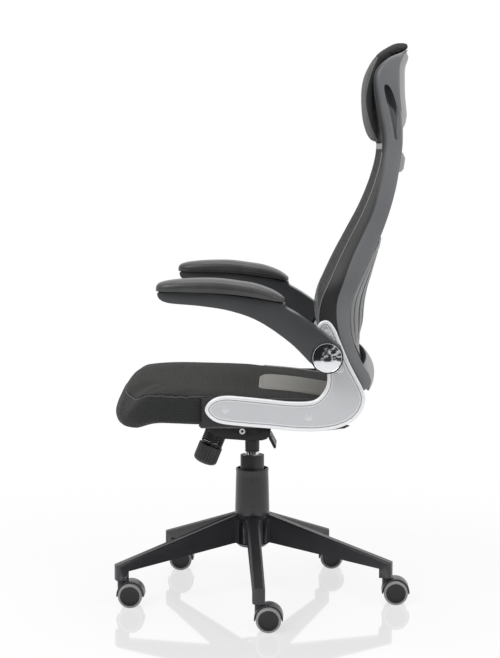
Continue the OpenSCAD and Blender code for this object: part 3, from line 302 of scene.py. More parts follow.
def tube(name, path, radius, sides, closed=False):
    """A round wire along a path of points."""
    path = [np.array(p, float) for p in path]
    count = len(path)
    rings = []
    for i, point in enumerate(path):
        after = path[(i + 1) % count] if closed or i < count - 1 else path[i]
        before = path[i - 1] if closed or i > 0 else path[i]
        way = after - before
        way /= max(np.linalg.norm(way), 1e-9)
        side = np.cross(way, (0, 0, 1)) if abs(way[2]) < 0.9 else np.cross(way, (1, 0, 0))
        side /= np.linalg.norm(side)
        up = np.cross(side, way)
        rings.append([point + radius * (math.cos(a) * side + math.sin(a) * up)
                      for a in (2 * math.pi * k / sides for k in range(sides))])
    return skin(name, rings + (rings[:1] if closed else []))


def dressed(node, width, segments, angle=28):
    """A copy of a CAD node with its small faces merged and its edges rounded."""
    obj = copy(frame["nodes"][node], node + "_moulding")
    edit(obj)
    select_all()
    bpy.ops.mesh.remove_doubles(threshold=4e-6)
    bpy.ops.mesh.dissolve_limited(angle_limit=0.02)
    leave()
    return smooth(soften(obj, width, segments, angle), 40)


# Points and soft skins

def coords(obj):
    flat = np.zeros(len(obj.data.vertices) * 3, np.float32)
    obj.data.vertices.foreach_get("co", flat)
    return flat.reshape(-1, 3).astype(float) / MM


def set_coords(obj, points):
    obj.data.vertices.foreach_set("co", (points * MM).astype(np.float32).ravel())
    obj.data.update()


def normals(obj):
    flat = np.zeros(len(obj.data.vertices) * 3, np.float32)
    obj.data.vertex_normals.foreach_get("vector", flat)
    return flat.reshape(-1, 3).astype(float)


def swell(obj, cap, held):
    """Fills a piece as cloth holds air. No point moves further than cap, and the held ones stay."""
    rest = coords(obj)
    group = obj.vertex_groups.new(name="held")
    group.add([i for i, point in enumerate(rest) if held(point)], 1.0, "REPLACE")
    only(obj)
    cloth = obj.modifiers.new("Cloth", "CLOTH")
    cloth.settings.quality = 5
    cloth.settings.use_pressure = True
    cloth.settings.uniform_pressure_force = 4
    cloth.settings.effector_weights.gravity = 0
    cloth.settings.vertex_group_mass = "held"
    for step in range(1, 21):
        scene.frame_set(step)
    bpy.ops.object.modifier_apply(modifier="Cloth")
    gone = coords(obj) - rest
    length = np.linalg.norm(gone, axis=1, keepdims=True)
    set_coords(obj, rest + gone * np.minimum(1, cap / np.maximum(length, 1e-9)))
    scene.frame_set(1)
    return obj


def to_line(points, line, closed=True):
    """Distance of each point to a line of points, and the nearest place along it."""
    line = np.array(line, float)
    ends = np.roll(line, -1, axis=0) if closed else line[1:]
    starts = line if closed else line[:-1]
    best = np.full(len(points), 1e9)
    nearest = np.zeros((len(points), 3))
    for a, b in zip(starts, ends):
        way = b - a
        t = np.clip(((points - a) @ way) / max(way @ way, 1e-9), 0, 1)
        spot = a + t[:, None] * way
        far = np.linalg.norm(points - spot, axis=1)
        closer = far < best
        best[closer], nearest[closer] = far[closer], spot[closer]
    return best, nearest


def sew(obj, line, depth, width, closed=True):
    """Pulls the skin in along a seam line."""
    points = coords(obj)
    far, _ = to_line(points, line, closed)
    pull = depth * np.exp(-(far / width) ** 2)
    set_coords(obj, points - normals(obj) * pull[:, None])


def tag(obj, name, values):
    layer = obj.data.attributes.new(name, "FLOAT", "POINT")
    layer.data.foreach_set("value", np.array(values, np.float32))


def onto(obj):
    """Finds the nearest point of a piece's skin, and the skin's normal there."""
    tree = BVHTree.FromPolygons([v.co for v in obj.data.vertices], [tuple(p.vertices) for p in obj.data.polygons])

    def find(point, lift=0.0):
        spot, normal, _, _ = tree.find_nearest(Vector(point) * MM)
        return np.array(spot) / MM + np.array(normal) * lift

    return find, tree


def remesh(obj, size):
    return shape(obj, "REMESH", mode="VOXEL", voxel_size=size * MM, use_smooth_shade=True)


# Finishes: sockets are worked with as numbers

def operator(operation, swapped=False):
    def work(self, *others):
        terms = (*others, self) if swapped else (self, *others)
        return self.finish.add("ShaderNodeMath", {"operation": operation}, dict(enumerate(terms)))

    return work


class Value:
    """An output socket that is worked with as a number."""

    def __init__(self, finish, socket):
        self.finish, self.socket = finish, socket

    __add__, __radd__ = operator("ADD"), operator("ADD", True)
    __sub__, __rsub__ = operator("SUBTRACT"), operator("SUBTRACT", True)
    __mul__, __rmul__ = operator("MULTIPLY"), operator("MULTIPLY", True)
    __truediv__, __pow__, __abs__ = operator("DIVIDE"), operator("POWER"), operator("ABSOLUTE")
    cosine = operator("COSINE")

    def wave(self, period):
        """A cosine of a length, from -1 to 1."""
        return (self * (2 * math.pi / period)).cosine()

    def step(self, low, high):
        """0 below low, 1 above high, and smooth between."""
        return self.finish.add("ShaderNodeMapRange", {"interpolation_type": "SMOOTHSTEP"},
                               {"Value": self, "From Min": low, "From Max": high})


def linear(*levels):
    """A colour from one or three levels of 0 to 255 as they look on a screen."""
    if len(levels) == 1:
        levels = levels[0] if isinstance(levels[0], tuple) else levels * 3
    parts = [v / 255 for v in levels]
    return tuple(p / 12.92 if p <= 0.04045 else ((p + 0.055) / 1.055) ** 2.4 for p in parts) + (1.0,)


def scaled(color, factor, lift=0.0):
    return tuple(min(1, c * factor + lift) for c in color[:3]) + (1.0,)


class Finish:
    def __init__(self, name, holder=None):
        self.material = holder or bpy.data.materials.new(name)
        self.material.use_nodes = True
        self.tree = self.material.node_tree
        self.tree.nodes.clear()

    def add(self, kind, settings=None, values=None, out=0):
        node = self.tree.nodes.new(kind)
        for key, value in (settings or {}).items():
            setattr(node, key, value)
        for key, value in (values or {}).items():
            if isinstance(value, Value):
                self.tree.links.new(value.socket, node.inputs[key])
            else:
                node.inputs[key].default_value = value
        return Value(self, node.outputs[out])

    def spot(self):
        return self.add("ShaderNodeTexCoord", out="Object")

    def place(self):
        """The point on the piece, as a vector and as its three parts in millimetres."""
        spot = self.spot()
        node = self.add("ShaderNodeSeparateXYZ", values={0: spot}).socket.node
        return spot, *(Value(self, node.outputs[i]) * 1000 for i in range(3))

    def tagged(self, name):
        """A number that tag() left on the mesh."""
        return self.add("ShaderNodeAttribute", {"attribute_name": name}, out="Fac")

    def noise(self, spot, scale, detail, rough=0.5):
        return self.add("ShaderNodeTexNoise",
                        values={"Vector": spot, "Scale": scale, "Detail": detail, "Roughness": rough})

    def cells(self, spot, scale):
        return self.add("ShaderNodeTexVoronoi", {"feature": "SMOOTH_F1"}, {"Vector": spot, "Scale": scale})

    def mix(self, share, first, second):
        return self.add("ShaderNodeMix", {"data_type": "RGBA"}, {0: share, 6: first, 7: second}, out=2)

    def bump(self, height, depth, normal=None):
        values = {"Strength": 1.0, "Distance": depth * MM, "Height": height}
        if normal:
            values["Normal"] = normal
        return self.add("ShaderNodeBump", values=values)

    def surface(self, color, roughness, normal, **constants):
        """The shader: constants name its sockets with underscores for spaces."""
        values = {"Base Color": color, "Roughness": roughness, "Normal": normal}
        for key, value in constants.items():
            values[key.replace("_", " ").title().replace("Ior", "IOR")] = value
        self.add_output(self.add("ShaderNodeBsdfPrincipled", values=values))
        return self

    def cloth(self, color, roughness, normal, sheen, **constants):
        return self.surface(color, roughness, normal, sheen_weight=sheen, sheen_roughness=0.5, **constants)

    def add_output(self, shader):
        kind = "World" if isinstance(self.material, bpy.types.World) else "Material"
        output = self.tree.nodes.new("ShaderNodeOutput" + kind)
        self.tree.links.new(shader.socket, output.inputs["Surface"])

    def on(self, *objects):
        for obj in objects:
            obj.data.materials.clear()
            obj.data.materials.append(self.material)
        return self


def moulded(name, level, roughness, grain=0.04, scale=900, patch=0.10, dust=0.0):
    """Moulded plastic: a fine spark-eroded grain, faint flow patches and a little dust."""
    finish = Finish(name)
    spot, base = finish.spot(), linear(level)
    flow = finish.noise(spot, 7, 4, 0.6)
    color = finish.mix(flow.step(0.3, 0.7), scaled(base, 1 - patch), scaled(base, 1 + 2.2 * patch, 0.002))
    if dust:
        facing = finish.add("ShaderNodeNewGeometry", out="Normal")
        facing_up = finish.add("ShaderNodeSeparateXYZ", values={0: facing}, out=2)
        speck = finish.noise(spot, 160, 5, 0.7).step(0.5, 0.75)
        color = finish.mix(facing_up.step(0.6, 1) * speck * dust, color, linear(150, 148, 143))
    rough = roughness - 0.05 + finish.noise(spot, 40, 3) * 0.1
    return finish.surface(color, rough, finish.bump(finish.noise(spot, scale, 2), grain))


def painted(name, level, roughness, peel=0.05):
    """Powder coat: an orange-peel skin."""
    finish = Finish(name)
    spot, base = finish.spot(), linear(level)
    rough = roughness - 0.06 + finish.noise(spot, 55, 4) * 0.12
    return finish.surface(finish.mix(finish.noise(spot, 14, 4), base, scaled(base, 1.35)), rough,
                          finish.bump(finish.cells(spot, 700), peel))


def metal(name, level, roughness, brush=0.0):
    """Metal, with a fine grain along z where brush is set."""
    finish = Finish(name)
    spot, base = finish.spot(), linear(level)
    cloud = finish.noise(spot, 22, 4)
    rough = roughness * 0.8 + finish.noise(spot, 90, 3) * roughness * 0.4
    height = finish.noise(spot, 260, 3)
    if brush:
        height = finish.noise(finish.add("ShaderNodeMapping", values={0: spot, "Scale": (40, 40, 3000)}), 1, 2)
    return finish.surface(finish.mix(cloud.step(0.3, 0.75), scaled(base, 0.88), base), rough,
                          finish.bump(height, 0.012 + brush), metallic=1.0)


FINISH = {
    "base_nylon": moulded("satin_nylon_base", (46, 46, 49), 0.36, 0.03, 800, 0.08, 0.05),
    "cover_plastic": moulded("column_cover_plastic", (47, 47, 49), 0.27, 0.03, 900),
    "tube_paint": painted("black_tube_paint", 52, 0.42),
    "bush_plastic": moulded("grey_bush_plastic", 145, 0.4),
    "steel": metal("zinc_plated_steel", (198, 200, 203), 0.3, 0.01),
    "chrome": metal("mirror_chrome", (235, 237, 240), 0.045),
    "castor_nylon": moulded("castor_hood_nylon", (50, 50, 53), 0.33, 0.025, 900, 0.08, 0.06),
    "wheel_nylon": moulded("castor_wheel_nylon", (24, 24, 26), 0.42, 0.025),
    "tread": moulded("castor_tread_rubber", (138, 138, 137), 0.5, 0.05, 600),
    "collar_plastic": moulded("collar_plastic", (32, 32, 34), 0.45, 0.03),
    "mechanism_paint": painted("mechanism_powder_coat", 17, 0.56, 0.07),
    "spring_steel": painted("spring_lacquer", 40, 0.5, 0.02),
    "knob_plastic": moulded("knob_plastic", (60, 60, 62), 0.45, 0.04),
    "lever_plastic": moulded("lever_plastic", (40, 40, 42), 0.45, 0.04),
    "pan_plastic": moulded("seat_shell_plastic", (38, 38, 40), 0.55, 0.09, 520),
    "arm_plastic": moulded("arm_plastic", (58, 59, 61), 0.36, 0.03, 950, 0.07),
    "lumbar_plastic": moulded("lumbar_plastic", (72, 73, 75), 0.36, 0.03, 950, 0.06),
}


def silver_paint():
    """Satin silver lacquer with a painted highlight where "rim" is 1 and painted shade where it is below 0."""
    finish = Finish("silver_lacquer_painted_rim_light")
    spot = finish.spot()
    flake = finish.add("ShaderNodeTexVoronoi", values={"Vector": spot, "Scale": 2600.0}, out="Color")
    shade = finish.add("ShaderNodeSeparateColor", values={0: flake})
    cloud = finish.noise(spot, 9, 3)
    color = finish.mix(cloud * 0.5 + shade * 0.35, linear(202, 203, 205), linear(224, 225, 227))
    # "rim" carries painted light: a painted highlight on the rim, painted shade in the groove and on the inner panel
    rim = finish.tagged("rim")
    color = finish.mix(rim, color, linear(241, 241, 242))
    color = finish.mix(0 - rim, color, linear(128, 129, 131))
    rough = 0.30 + finish.noise(spot, 60, 3) * 0.1
    return finish.surface(color, rough, finish.bump(finish.noise(spot, 1500, 1), 0.008),
                          metallic=0.25, coat_weight=0.25, coat_roughness=0.12)


# Marks in "past_band": the first paints light in the palest tone, the second paints shade in the front facet's dark
# tone
PAINTED_LIGHT_MARK, PAINTED_SHADE_MARK = 100, -60


def back_plastic():
    """The back frame's plastic: dark on its front facet and paler behind it.

    "past_band" is the distance behind the facet's edge, or a mark: the painted-light mark for the palest tone, the
    painted-shade mark for the darkest.
    """
    finish = Finish("back_frame_plastic")
    spot, _, _, z = finish.place()
    depth = finish.tagged("past_band")
    # Up high the front facet is painted darker and its change to the rear tone is spread wide, as painted shade; the
    # rear tone is paler lower down
    high = z.step(700, 960)
    # painted_waist_shade darkens both tones between about 600 and 930 mm: painted shade
    painted_waist_shade = z.step(600, 690) * (1 - z.step(800, 930)) * 0.6
    past = depth.step(-1.0 - high * 9, 1.0 + high * 2)
    flow = finish.noise(spot, 7, 4, 0.6).step(0.3, 0.7)
    front = finish.mix(painted_waist_shade * 1.6, finish.mix(high, linear(40, 40, 42), linear(34, 34, 36)), linear(19))
    rear = finish.mix(flow * 0.4 + (1 - high) * 0.6, linear(101, 102, 104), linear(117, 118, 120))
    rear = finish.mix(painted_waist_shade, rear, linear(86, 87, 89))
    # Points with the painted-light mark take the palest tone: painted light
    color = finish.mix(depth.step(PAINTED_LIGHT_MARK - 10, PAINTED_LIGHT_MARK), finish.mix(past, front, rear), linear(142, 143, 144))
    rough = 0.42 - past * 0.06 + finish.noise(spot, 40, 3) * 0.08
    return finish.surface(color, rough, finish.bump(finish.noise(spot, 950, 2), 0.03))


def foam_skin():
    """Self-skinned foam: a shallow pebble grain."""
    finish = Finish("arm_pad_foam_skin")
    spot = finish.spot()
    color = finish.mix(finish.noise(spot, 16, 4, 0.6).step(0.35, 0.7), linear(52), linear(64))
    dents = finish.bump(finish.noise(spot, 60, 2), 0.12)
    return finish.surface(color, 0.44 - finish.noise(spot, 12, 3) * 0.12,
                          finish.bump(finish.cells(spot, 620), 0.10, dents))


RIB, YARN = 5.0, 1.5


def ribbed_top(finish, spot, x, y):
    """Colour and height of the woven top: ribs across the seat, plied yarn along each."""
    wander = finish.noise(spot, 18, 2) * 1.2
    rib = (y + wander).wave(RIB)
    yarn = (x + y.wave(RIB) * 0.6).wave(YARN)
    cross = (y + wander).wave(RIB / 4) * 0.35
    melange = finish.noise(spot, 1300, 2, 0.7)
    cloud = finish.noise(spot, 5, 4, 0.6)
    height = rib * 0.5 + yarn * 0.22 + cross * 0.3 + melange * 0.4
    tone = (rib * 0.16 + melange * 0.75 + yarn * 0.06 + cloud * 0.35 - 0.05).step(0.1, 1.0)
    return finish.mix(tone, linear(21, 20, 19), linear(47, 46, 43)), height


def spacer_side(finish, spot, x, y, z, pitch):
    """Colour and height of the spacer mesh: slanting rows of small open cells."""
    run = y + abs(x)
    hole = (run.wave(pitch) * z.wave(pitch) * 0.5 + 0.5).step(0.48, 0.72)
    thread = (run + z * 0.4).wave(0.9) * 0.15
    melange = finish.noise(spot, 1100, 2, 0.6)
    color = finish.mix(hole, finish.mix(melange, linear(27, 28, 29), linear(50, 51, 51)), linear(3))
    return color, thread + melange * 0.25 - hole * 0.9


def seat_fabric():
    """Woven top where "zone" is 1, spacer mesh below the seam."""
    finish = Finish("seat_fabric")
    spot, x, y, z = finish.place()
    top, ribs = ribbed_top(finish, spot, x, y)
    side, cells = spacer_side(finish, spot, x, y, z, 6.2)
    zone = finish.tagged("zone").step(0.35, 0.65)
    height = ribs * zone + cells * (1 - zone)
    return finish.cloth(finish.mix(zone, side, top), 0.86 + zone * 0.06, finish.bump(height, 0.42), 0.06)


def head_fabric():
    """Pale knit on the front panel, where "zone" is 1, partly a painted highlight; spacer mesh round it, with painted
    shade on top.
    """
    finish = Finish("headrest_fabric")
    spot, x, y, z = finish.place()
    side, cells = spacer_side(finish, spot, x, y, z, 6.6)
    # Painted shade: the spacer mesh darkens towards the top of the pad
    side = finish.mix(z.step(1085, 1130) * 0.75, side, linear(10))
    cell = (x.wave(3.4) * z.wave(3.4) * 0.5 + 0.5).step(0.55, 0.95)
    melange = finish.noise(spot, 1100, 2, 0.6)
    # The front panel's pale tone is partly a painted highlight along the front of the pad
    face = finish.mix(cell * 0.8, finish.mix(melange, linear(88, 88, 87), linear(112, 112, 110)), linear(48))
    zone = finish.tagged("zone").step(0.35, 0.65)
    height = (melange * 0.4 - cell * 0.7) * zone + cells * (1 - zone)
    return finish.cloth(finish.mix(zone, side, face), 0.86 + zone * 0.04, finish.bump(height, 0.4), 0.05)


def insert_fabric():
    """A grey basket weave, darker towards the rear as a painted shadow of the back."""
    finish = Finish("grey_insert_fabric")
    spot, x, y, _ = finish.place()
    weave = (x.wave(2.6) * y.wave(2.6)) * 0.5 + (x.wave(1.3) + y.wave(1.3)) * 0.2
    melange = finish.noise(spot, 900, 3, 0.7)
    # Painted shadow: the tone darkens from the front towards the rear, where the back shades the seat
    out_of_back_shadow = y.step(150, 20)
    tone = finish.mix(out_of_back_shadow, linear(146, 144, 137), linear(180, 178, 170))
    dark = finish.mix(out_of_back_shadow, linear(112, 111, 105), linear(146, 144, 137))
    color = finish.mix((weave * 0.35 + melange * 0.9).step(0.15, 0.8), dark, tone)
    return finish.cloth(color, 0.9 + melange * 0.05, finish.bump(weave + melange * 0.5, 0.3), 0.3)


def back_net():
    """Open weave: slanting threads with a rounded hole between each four."""
    finish = Finish("back_mesh_weave")
    spot, x, _, z = finish.place()
    net = abs(x.wave(3.6) + z.wave(4.4))
    strand = finish.noise(spot, 900, 2)
    color = finish.mix(strand, linear(17, 17, 18), linear(31, 31, 33))
    return finish.cloth(color, 0.7 + strand * 0.15, finish.bump(0 - net + strand * 0.3, 0.3), 0.15,
                        alpha=1 - net.step(1.05, 1.3))


def cord_cloth(name, low, high):
    finish = Finish(name)
    spot, x, y, z = finish.place()
    twist = (x + y * 0.7 + z * 0.8).wave(1.4)
    speck = finish.noise(spot, 1400, 2)
    color = finish.mix(speck * 0.7 + twist * 0.15, linear(low), linear(high))
    return finish.cloth(color, 0.85 + speck * 0.1, finish.bump(twist + speck, 0.12), 0.2)


FINISH |= {"frame_plastic": back_plastic(), "silver_casting": silver_paint(), "pad_foam": foam_skin(),
           "seat_fabric": seat_fabric(), "head_fabric": head_fabric(), "insert_fabric": insert_fabric(),
           "mesh_fabric": back_net()}
SEAM_CLOTH = cord_cloth("seam_piping", 58, 92)
THREAD = cord_cloth("stitching_thread", 60, 110)
# A pale thin wire along each rail's front edge is a painted highlight line
RAIL_EDGE_HIGHLIGHT = moulded("rail_edge_painted_highlight", (140, 140, 140), 0.4, 0.02)


def put(obj, body, slot, node="", finish=None):
    """Lets a finished piece ride on its body, take its finish and stand for its CAD node."""
    (finish or FINISH[slot]).on(obj)
    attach(obj, body)
    if node:
        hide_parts(node)
    return obj


def put_pair(piece, body, slot, node="", finish=None):
    """Puts a left piece and its mirror image: "left" in each name becomes "right" in its twin's."""
    twin = copy(piece, piece.name.replace("left", "right"), MIRROR)
    put(piece, body, slot, node, finish)
    put(twin, *(name.replace("left", "right") for name in (body, slot, node)), finish)
    return piece, twin


def put_turned(name, rows, body, slot, node, crease=40):
    """A ring turned about the column's axis."""
    return put(smooth(turned(name, rows, ring=True), crease), body, slot, node)


def put_wire(name, path, radius, slot, finish, sides=8, closed=False):
    return put(smooth(tube(name, path, radius, sides, closed), 60), "seat", slot, finish=finish)


def both_sides(piece):
    return joined(piece, copy(piece, piece.name + "_right", MIRROR))


# Base and column

HUB_TOP, TUBE_TOP, COLLAR_Z = 172.9, 298.9, 305.9
PIVOT_Y, PIVOT_Z = -19, 356.9
STEMS = {1: (288.15, 22.17), 2: (67.96, 280.90), 3: (-246.15, 151.43), 4: (-220.09, -187.31), 5: (110.13, -267.19)}
TRAIL, WHEEL_R, WEB_HALF, WEB_GAP = 19.6, 25, 6.5, 0.8


def raised(base, rows):
    """Rows of radius and height measured from a height."""
    return [(radius, base + height) for radius, height in rows]


def build_base():
    put(dressed("star_base", 1.6, 4, 24), "base", "base_nylon", "star_base")
    put_turned("column_cover_shell", raised(HUB_TOP, [
        (33.9, 0), (36.2, 0), (36.5, 1), (36.1, 18), (35.3, 50), (34.5, 80), (34.1, 91), (34.7, 93.2), (34.9, 95.5),
        (34.3, 97.6), (33.4, 98), (31.6, 97.6), (31.4, 96)]), "base", "cover_plastic", "column_cover")
    put_turned("stand_tube_painted", raised(TUBE_TOP, [
        (23.5, -40), (23.5, -0.6), (24, 0), (24.6, -0.2), (25, -0.9), (25, -191.4), (24.4, -192), (6, -192),
        (6, -188), (23.5, -188)]), "base", "tube_paint", "stand_tube")
    put_turned("pressure_tube_chrome", [
        (5.2, 127.9), (13.6, 127.9), (14, 128.4), (14, 345.2), (13.4, 346.7), (3.6, 346.7)],
        "column", "chrome", "pressure_tube")
    put_turned("column_collar_sleeve", raised(COLLAR_Z, [
        (14.03, 0), (14.8, 0), (15.1, 0.4), (15.1, 3.0), (14.7, 3.4), (14.7, 4.2), (15.1, 4.6), (15.1, 22.6),
        (14.8, 23), (14.03, 23)]), "column", "collar_plastic", "column_collar", crease=30)


def build_castors():
    hub = smooth(close(turned("castor_hub", [
        (3.2, 15.5), (3.2, 0.1), (19.6, 0.1), (20.3, 0.8), (20.3, 18.6), (20.0, 19.4), (19.4, 19.9), (18.6, 20),
        (17.2, 19.6), (15.4, 19.1), (12.0, 18.7), (8.4, 18.5), (2.4, 18.4)], 72)), 26)
    tread = smooth(turned("castor_tread", [
        (20.35, 1.4), (23.4, 1.4), (24.5, 2.2), (24.95, 3.4), (25, 4.6), (25, 7.0), (24.7, 7.3), (24.7, 8.0), (25, 8.3),
        (25, 12.0), (24.7, 12.3), (24.7, 13.0), (25, 13.3), (25, 15.2), (24.8, 16.4), (24.2, 17.6), (23.0, 18.6),
        (21.6, 19.1), (20.35, 19.2)], 72, ring=True), 40)
    for mesh in (hub, tread):
        move(mesh, ALONG_X)
    out = shifted(WEB_HALF + WEB_GAP, 0, 0)
    for i, (x, y) in STEMS.items():
        put(dressed(f"castor_{i}_hood", 0.7, 3, 30), f"castor_{i}", "castor_nylon", f"castor_{i}_hood")
        for side, turn in (("left", out), ("right", MIRROR @ out)):
            spot = shifted(x, y + TRAIL, WHEEL_R) @ turn
            body = f"castor_{i}_wheel_{side}"
            put(copy(hub, body + "_hub", spot), body, "wheel_nylon", body)
            put(copy(tread, body + "_tread", spot), body, "wheel_nylon", finish=FINISH["tread"])
    for mesh in (hub, tread):
        bpy.data.objects.remove(mesh)


# Tilt mechanism

TENSION_LEAN = math.radians(22)
TENSION_WAY = (0, math.sin(TENSION_LEAN), math.cos(TENSION_LEAN))
KNOB_TOP = (0, PIVOT_Y - 68, PIVOT_Z - 37.5)
SPRING_TURNS, SPRING_L, SPRING_R, WIRE_R = 11, 42.3, 21.75, 1.78
KNOB_GROOVES, KNOB_R, GROOVE_DEEP = 24, 25.5, 1.5
# Share of the radius, distance below the top and share of the groove's depth
KNOB_ROWS = [(0.93, 0, 0), (0.985, 0.5, 0), (1, 1.6, 0.4), (1, 3.4, 1), (1, 30.6, 1), (0.985, 33.6, 1),
             (0.93, 36.4, 0.8), (0.80, 39.0, 0.5), (0.62, 40.8, 0.2), (0.40, 41.7, 0), (0.18, 42, 0)]


def knob_ring(share, fall, cut, each=8):
    ring = []
    for k in range(KNOB_GROOVES * each):
        phase = (k % each) / each
        notch = max(0, math.cos(2 * math.pi * (phase - 0.5)) - 0.2) / 0.8
        r = KNOB_R * share - GROOVE_DEEP * cut * notch
        a = -2 * math.pi * k / (KNOB_GROOVES * each)
        ring.append((r * math.cos(a), r * math.sin(a), -0.3 - fall))
    return ring


def build_mechanism():
    put(dressed("mechanism_housing", 1.2, 3), "column", "mechanism_paint", "mechanism_housing")
    put(dressed("tilt_plate", 0.8, 3), "seat", "mechanism_paint", "tilt_plate")
    put(dressed("pivot_bolt", 0.6, 3), "column", "steel", "pivot_bolt", finish=FINISH["mechanism_paint"])
    pivot_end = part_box("pivot_bolt")[1][0] / MM - 0.1
    washer = turned("pivot_washer", [(2.8, 0), (5.8, 0), (6.2, 0.3), (6.2, 0.7), (5.8, 1.0), (2.8, 1.0)], 48, ring=True)
    washer = both_sides(move(washer, shifted(pivot_end, PIVOT_Y, PIVOT_Z) @ ALONG_X))
    put(smooth(washer), "column", "bush_plastic", finish=moulded("white_washer_nylon", 226, 0.4, 0.02))
    rivet = turned("lock_rivet", [(3.2, -1), (3.2, 0.6), (2.7, 1.3), (1.4, 1.6)], 32)
    put(smooth(both_sides(move(rivet, shifted(50, 18, 352.8) @ ALONG_X))), "column", "mechanism_paint")
    path = [(SPRING_R * math.cos(a), SPRING_R * math.sin(a), WIRE_R + SPRING_L * a / (2 * math.pi * SPRING_TURNS))
            for a in (2 * math.pi * k / 40 for k in range(40 * SPRING_TURNS + 1))]
    half_turn = Matrix.Rotation(math.pi, 4, "Z")
    spring = move(tube("tension_coil", path, WIRE_R, 12), along(KNOB_TOP, TENSION_WAY) @ half_turn)
    put(smooth(spring, 60), "column", "spring_steel", "tension_spring")
    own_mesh(spring)
    knob = move(skin("tension_knob_grip", [knob_ring(*row) for row in KNOB_ROWS]), along(KNOB_TOP, TENSION_WAY))
    put(smooth(knob, 40), "tension_knob", "knob_plastic", "tension_knob")
    put(dressed("lever_rod", 0.3, 2), "height_lever", "mechanism_paint", "lever_rod")
    paddle = shape(dressed("lever_paddle", 2.2, 4), "SUBSURF", levels=1, render_levels=1)
    points = coords(paddle)
    mid_y, mid_z = (np.mean([c[i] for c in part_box("lever_paddle")]) / MM for i in (1, 2))
    points[:, 1] = mid_y + (points[:, 1] - mid_y) * 0.6 - 0.32 * (points[:, 2] - mid_z)
    set_coords(paddle, points)
    put(smooth(paddle, 50), "height_lever", "lever_plastic", "lever_paddle")


# Seat

SEAT_MID, SEAT_HALF_L, SEAT_HALF_W, CUSHION_Z = -37, 241, 245.5, 390.2
SEAT_H, SEAT_FALL, PAN_RISE, NOSE_DROP = 101, 33, 10, 14
SEAM_ROW, SEAM_ROW_FRONT, NOSE_PULL = 6.5, 7.45, 5.8
# Share of the half length and of the height along the middle
CROWN_LINE = smooth_rows([(-1, 0.84), (-0.88, 0.91), (-0.72, 0.97), (-0.52, 1), (-0.2, 0.99), (0.09, 0.97),
                          (0.235, 0.93), (0.484, 0.88), (0.655, 0.825), (0.76, 0.79), (1, 0.73)], 6)
# Inset, share of the pan's rise or the nose's drop, and share of the height, from the foot to the top
SIDE_ROWS = [(54, 0, 0), (30, 0.5, 0), (9, 0.95, 0), (3, 1, 0.09), (0, 0.8, 0.28), (0.6, 0.3, 0.69), (2.8, 0, 0.91),
             (1.8, 0, 0.945), (7, 0, 0.98), (20, 0, 1)]
FRONT_ROWS = [(54, 0, 0), (34, -1, 0), (17, -1, 0), (6, -0.25, 0), (1, 0, 0.17), (5, 0, 0.32), (14.6, 0, 0.53),
              (14, 0, 0.57), (30, 0, 0.83), (52, 0, 1)]
LAST_ROW = len(SIDE_ROWS) - 1


def seat_edge(a, inset):
    """The seat's plan: rounder corners in front than behind."""
    c, s = math.cos(a), math.sin(a)
    power = 2 / (4.4 if s < 0 else 8)
    return (math.copysign(abs(c) ** power, c) * (SEAT_HALF_W - inset),
            SEAT_MID + math.copysign(abs(s) ** power, s) * (SEAT_HALF_L - inset))


def crown(x, y):
    return SEAT_H * look_up((y - SEAT_MID) / SEAT_HALF_L, CROWN_LINE) - SEAT_FALL * (abs(x) / SEAT_HALF_W) ** 1.3


def front_share(a):
    return ease(min(max((-math.sin(a) - 0.4) / 0.45, 0), 1))


def seat_ring_point(a, row):
    """A point of the cushion's skin at an angle, on or between its rows."""
    low, high, part = int(row), min(int(row) + 1, LAST_ROW), row - int(row)
    share = front_share(a)

    def at(rows):
        ends = [np.array((inset, rise * (NOSE_DROP if rise < 0 else PAN_RISE), up))
                for inset, rise, up in (rows[low], rows[high])]
        return ends[0] * (1 - part) + ends[1] * part

    side = at(SIDE_ROWS)
    inset, rise, up = side + (at(FRONT_ROWS) - side) * share
    rim = seat_edge(a, SIDE_ROWS[-1][0] + (FRONT_ROWS[-1][0] - SIDE_ROWS[-1][0]) * share)
    x, y = seat_edge(a, inset)
    return x, y, CUSHION_Z + rise + up * (crown(*rim) - 0.3)


def build_pan():
    pan = dressed("seat_pan", 1.2, 3)
    points = coords(pan)
    points[:, 2] += np.where(points[:, 2] < 388, np.clip((-75 - points[:, 1]) * 0.3, 0, 9), 0)
    set_coords(pan, points)
    put(pan, "seat", "pan_plastic", "seat_pan")


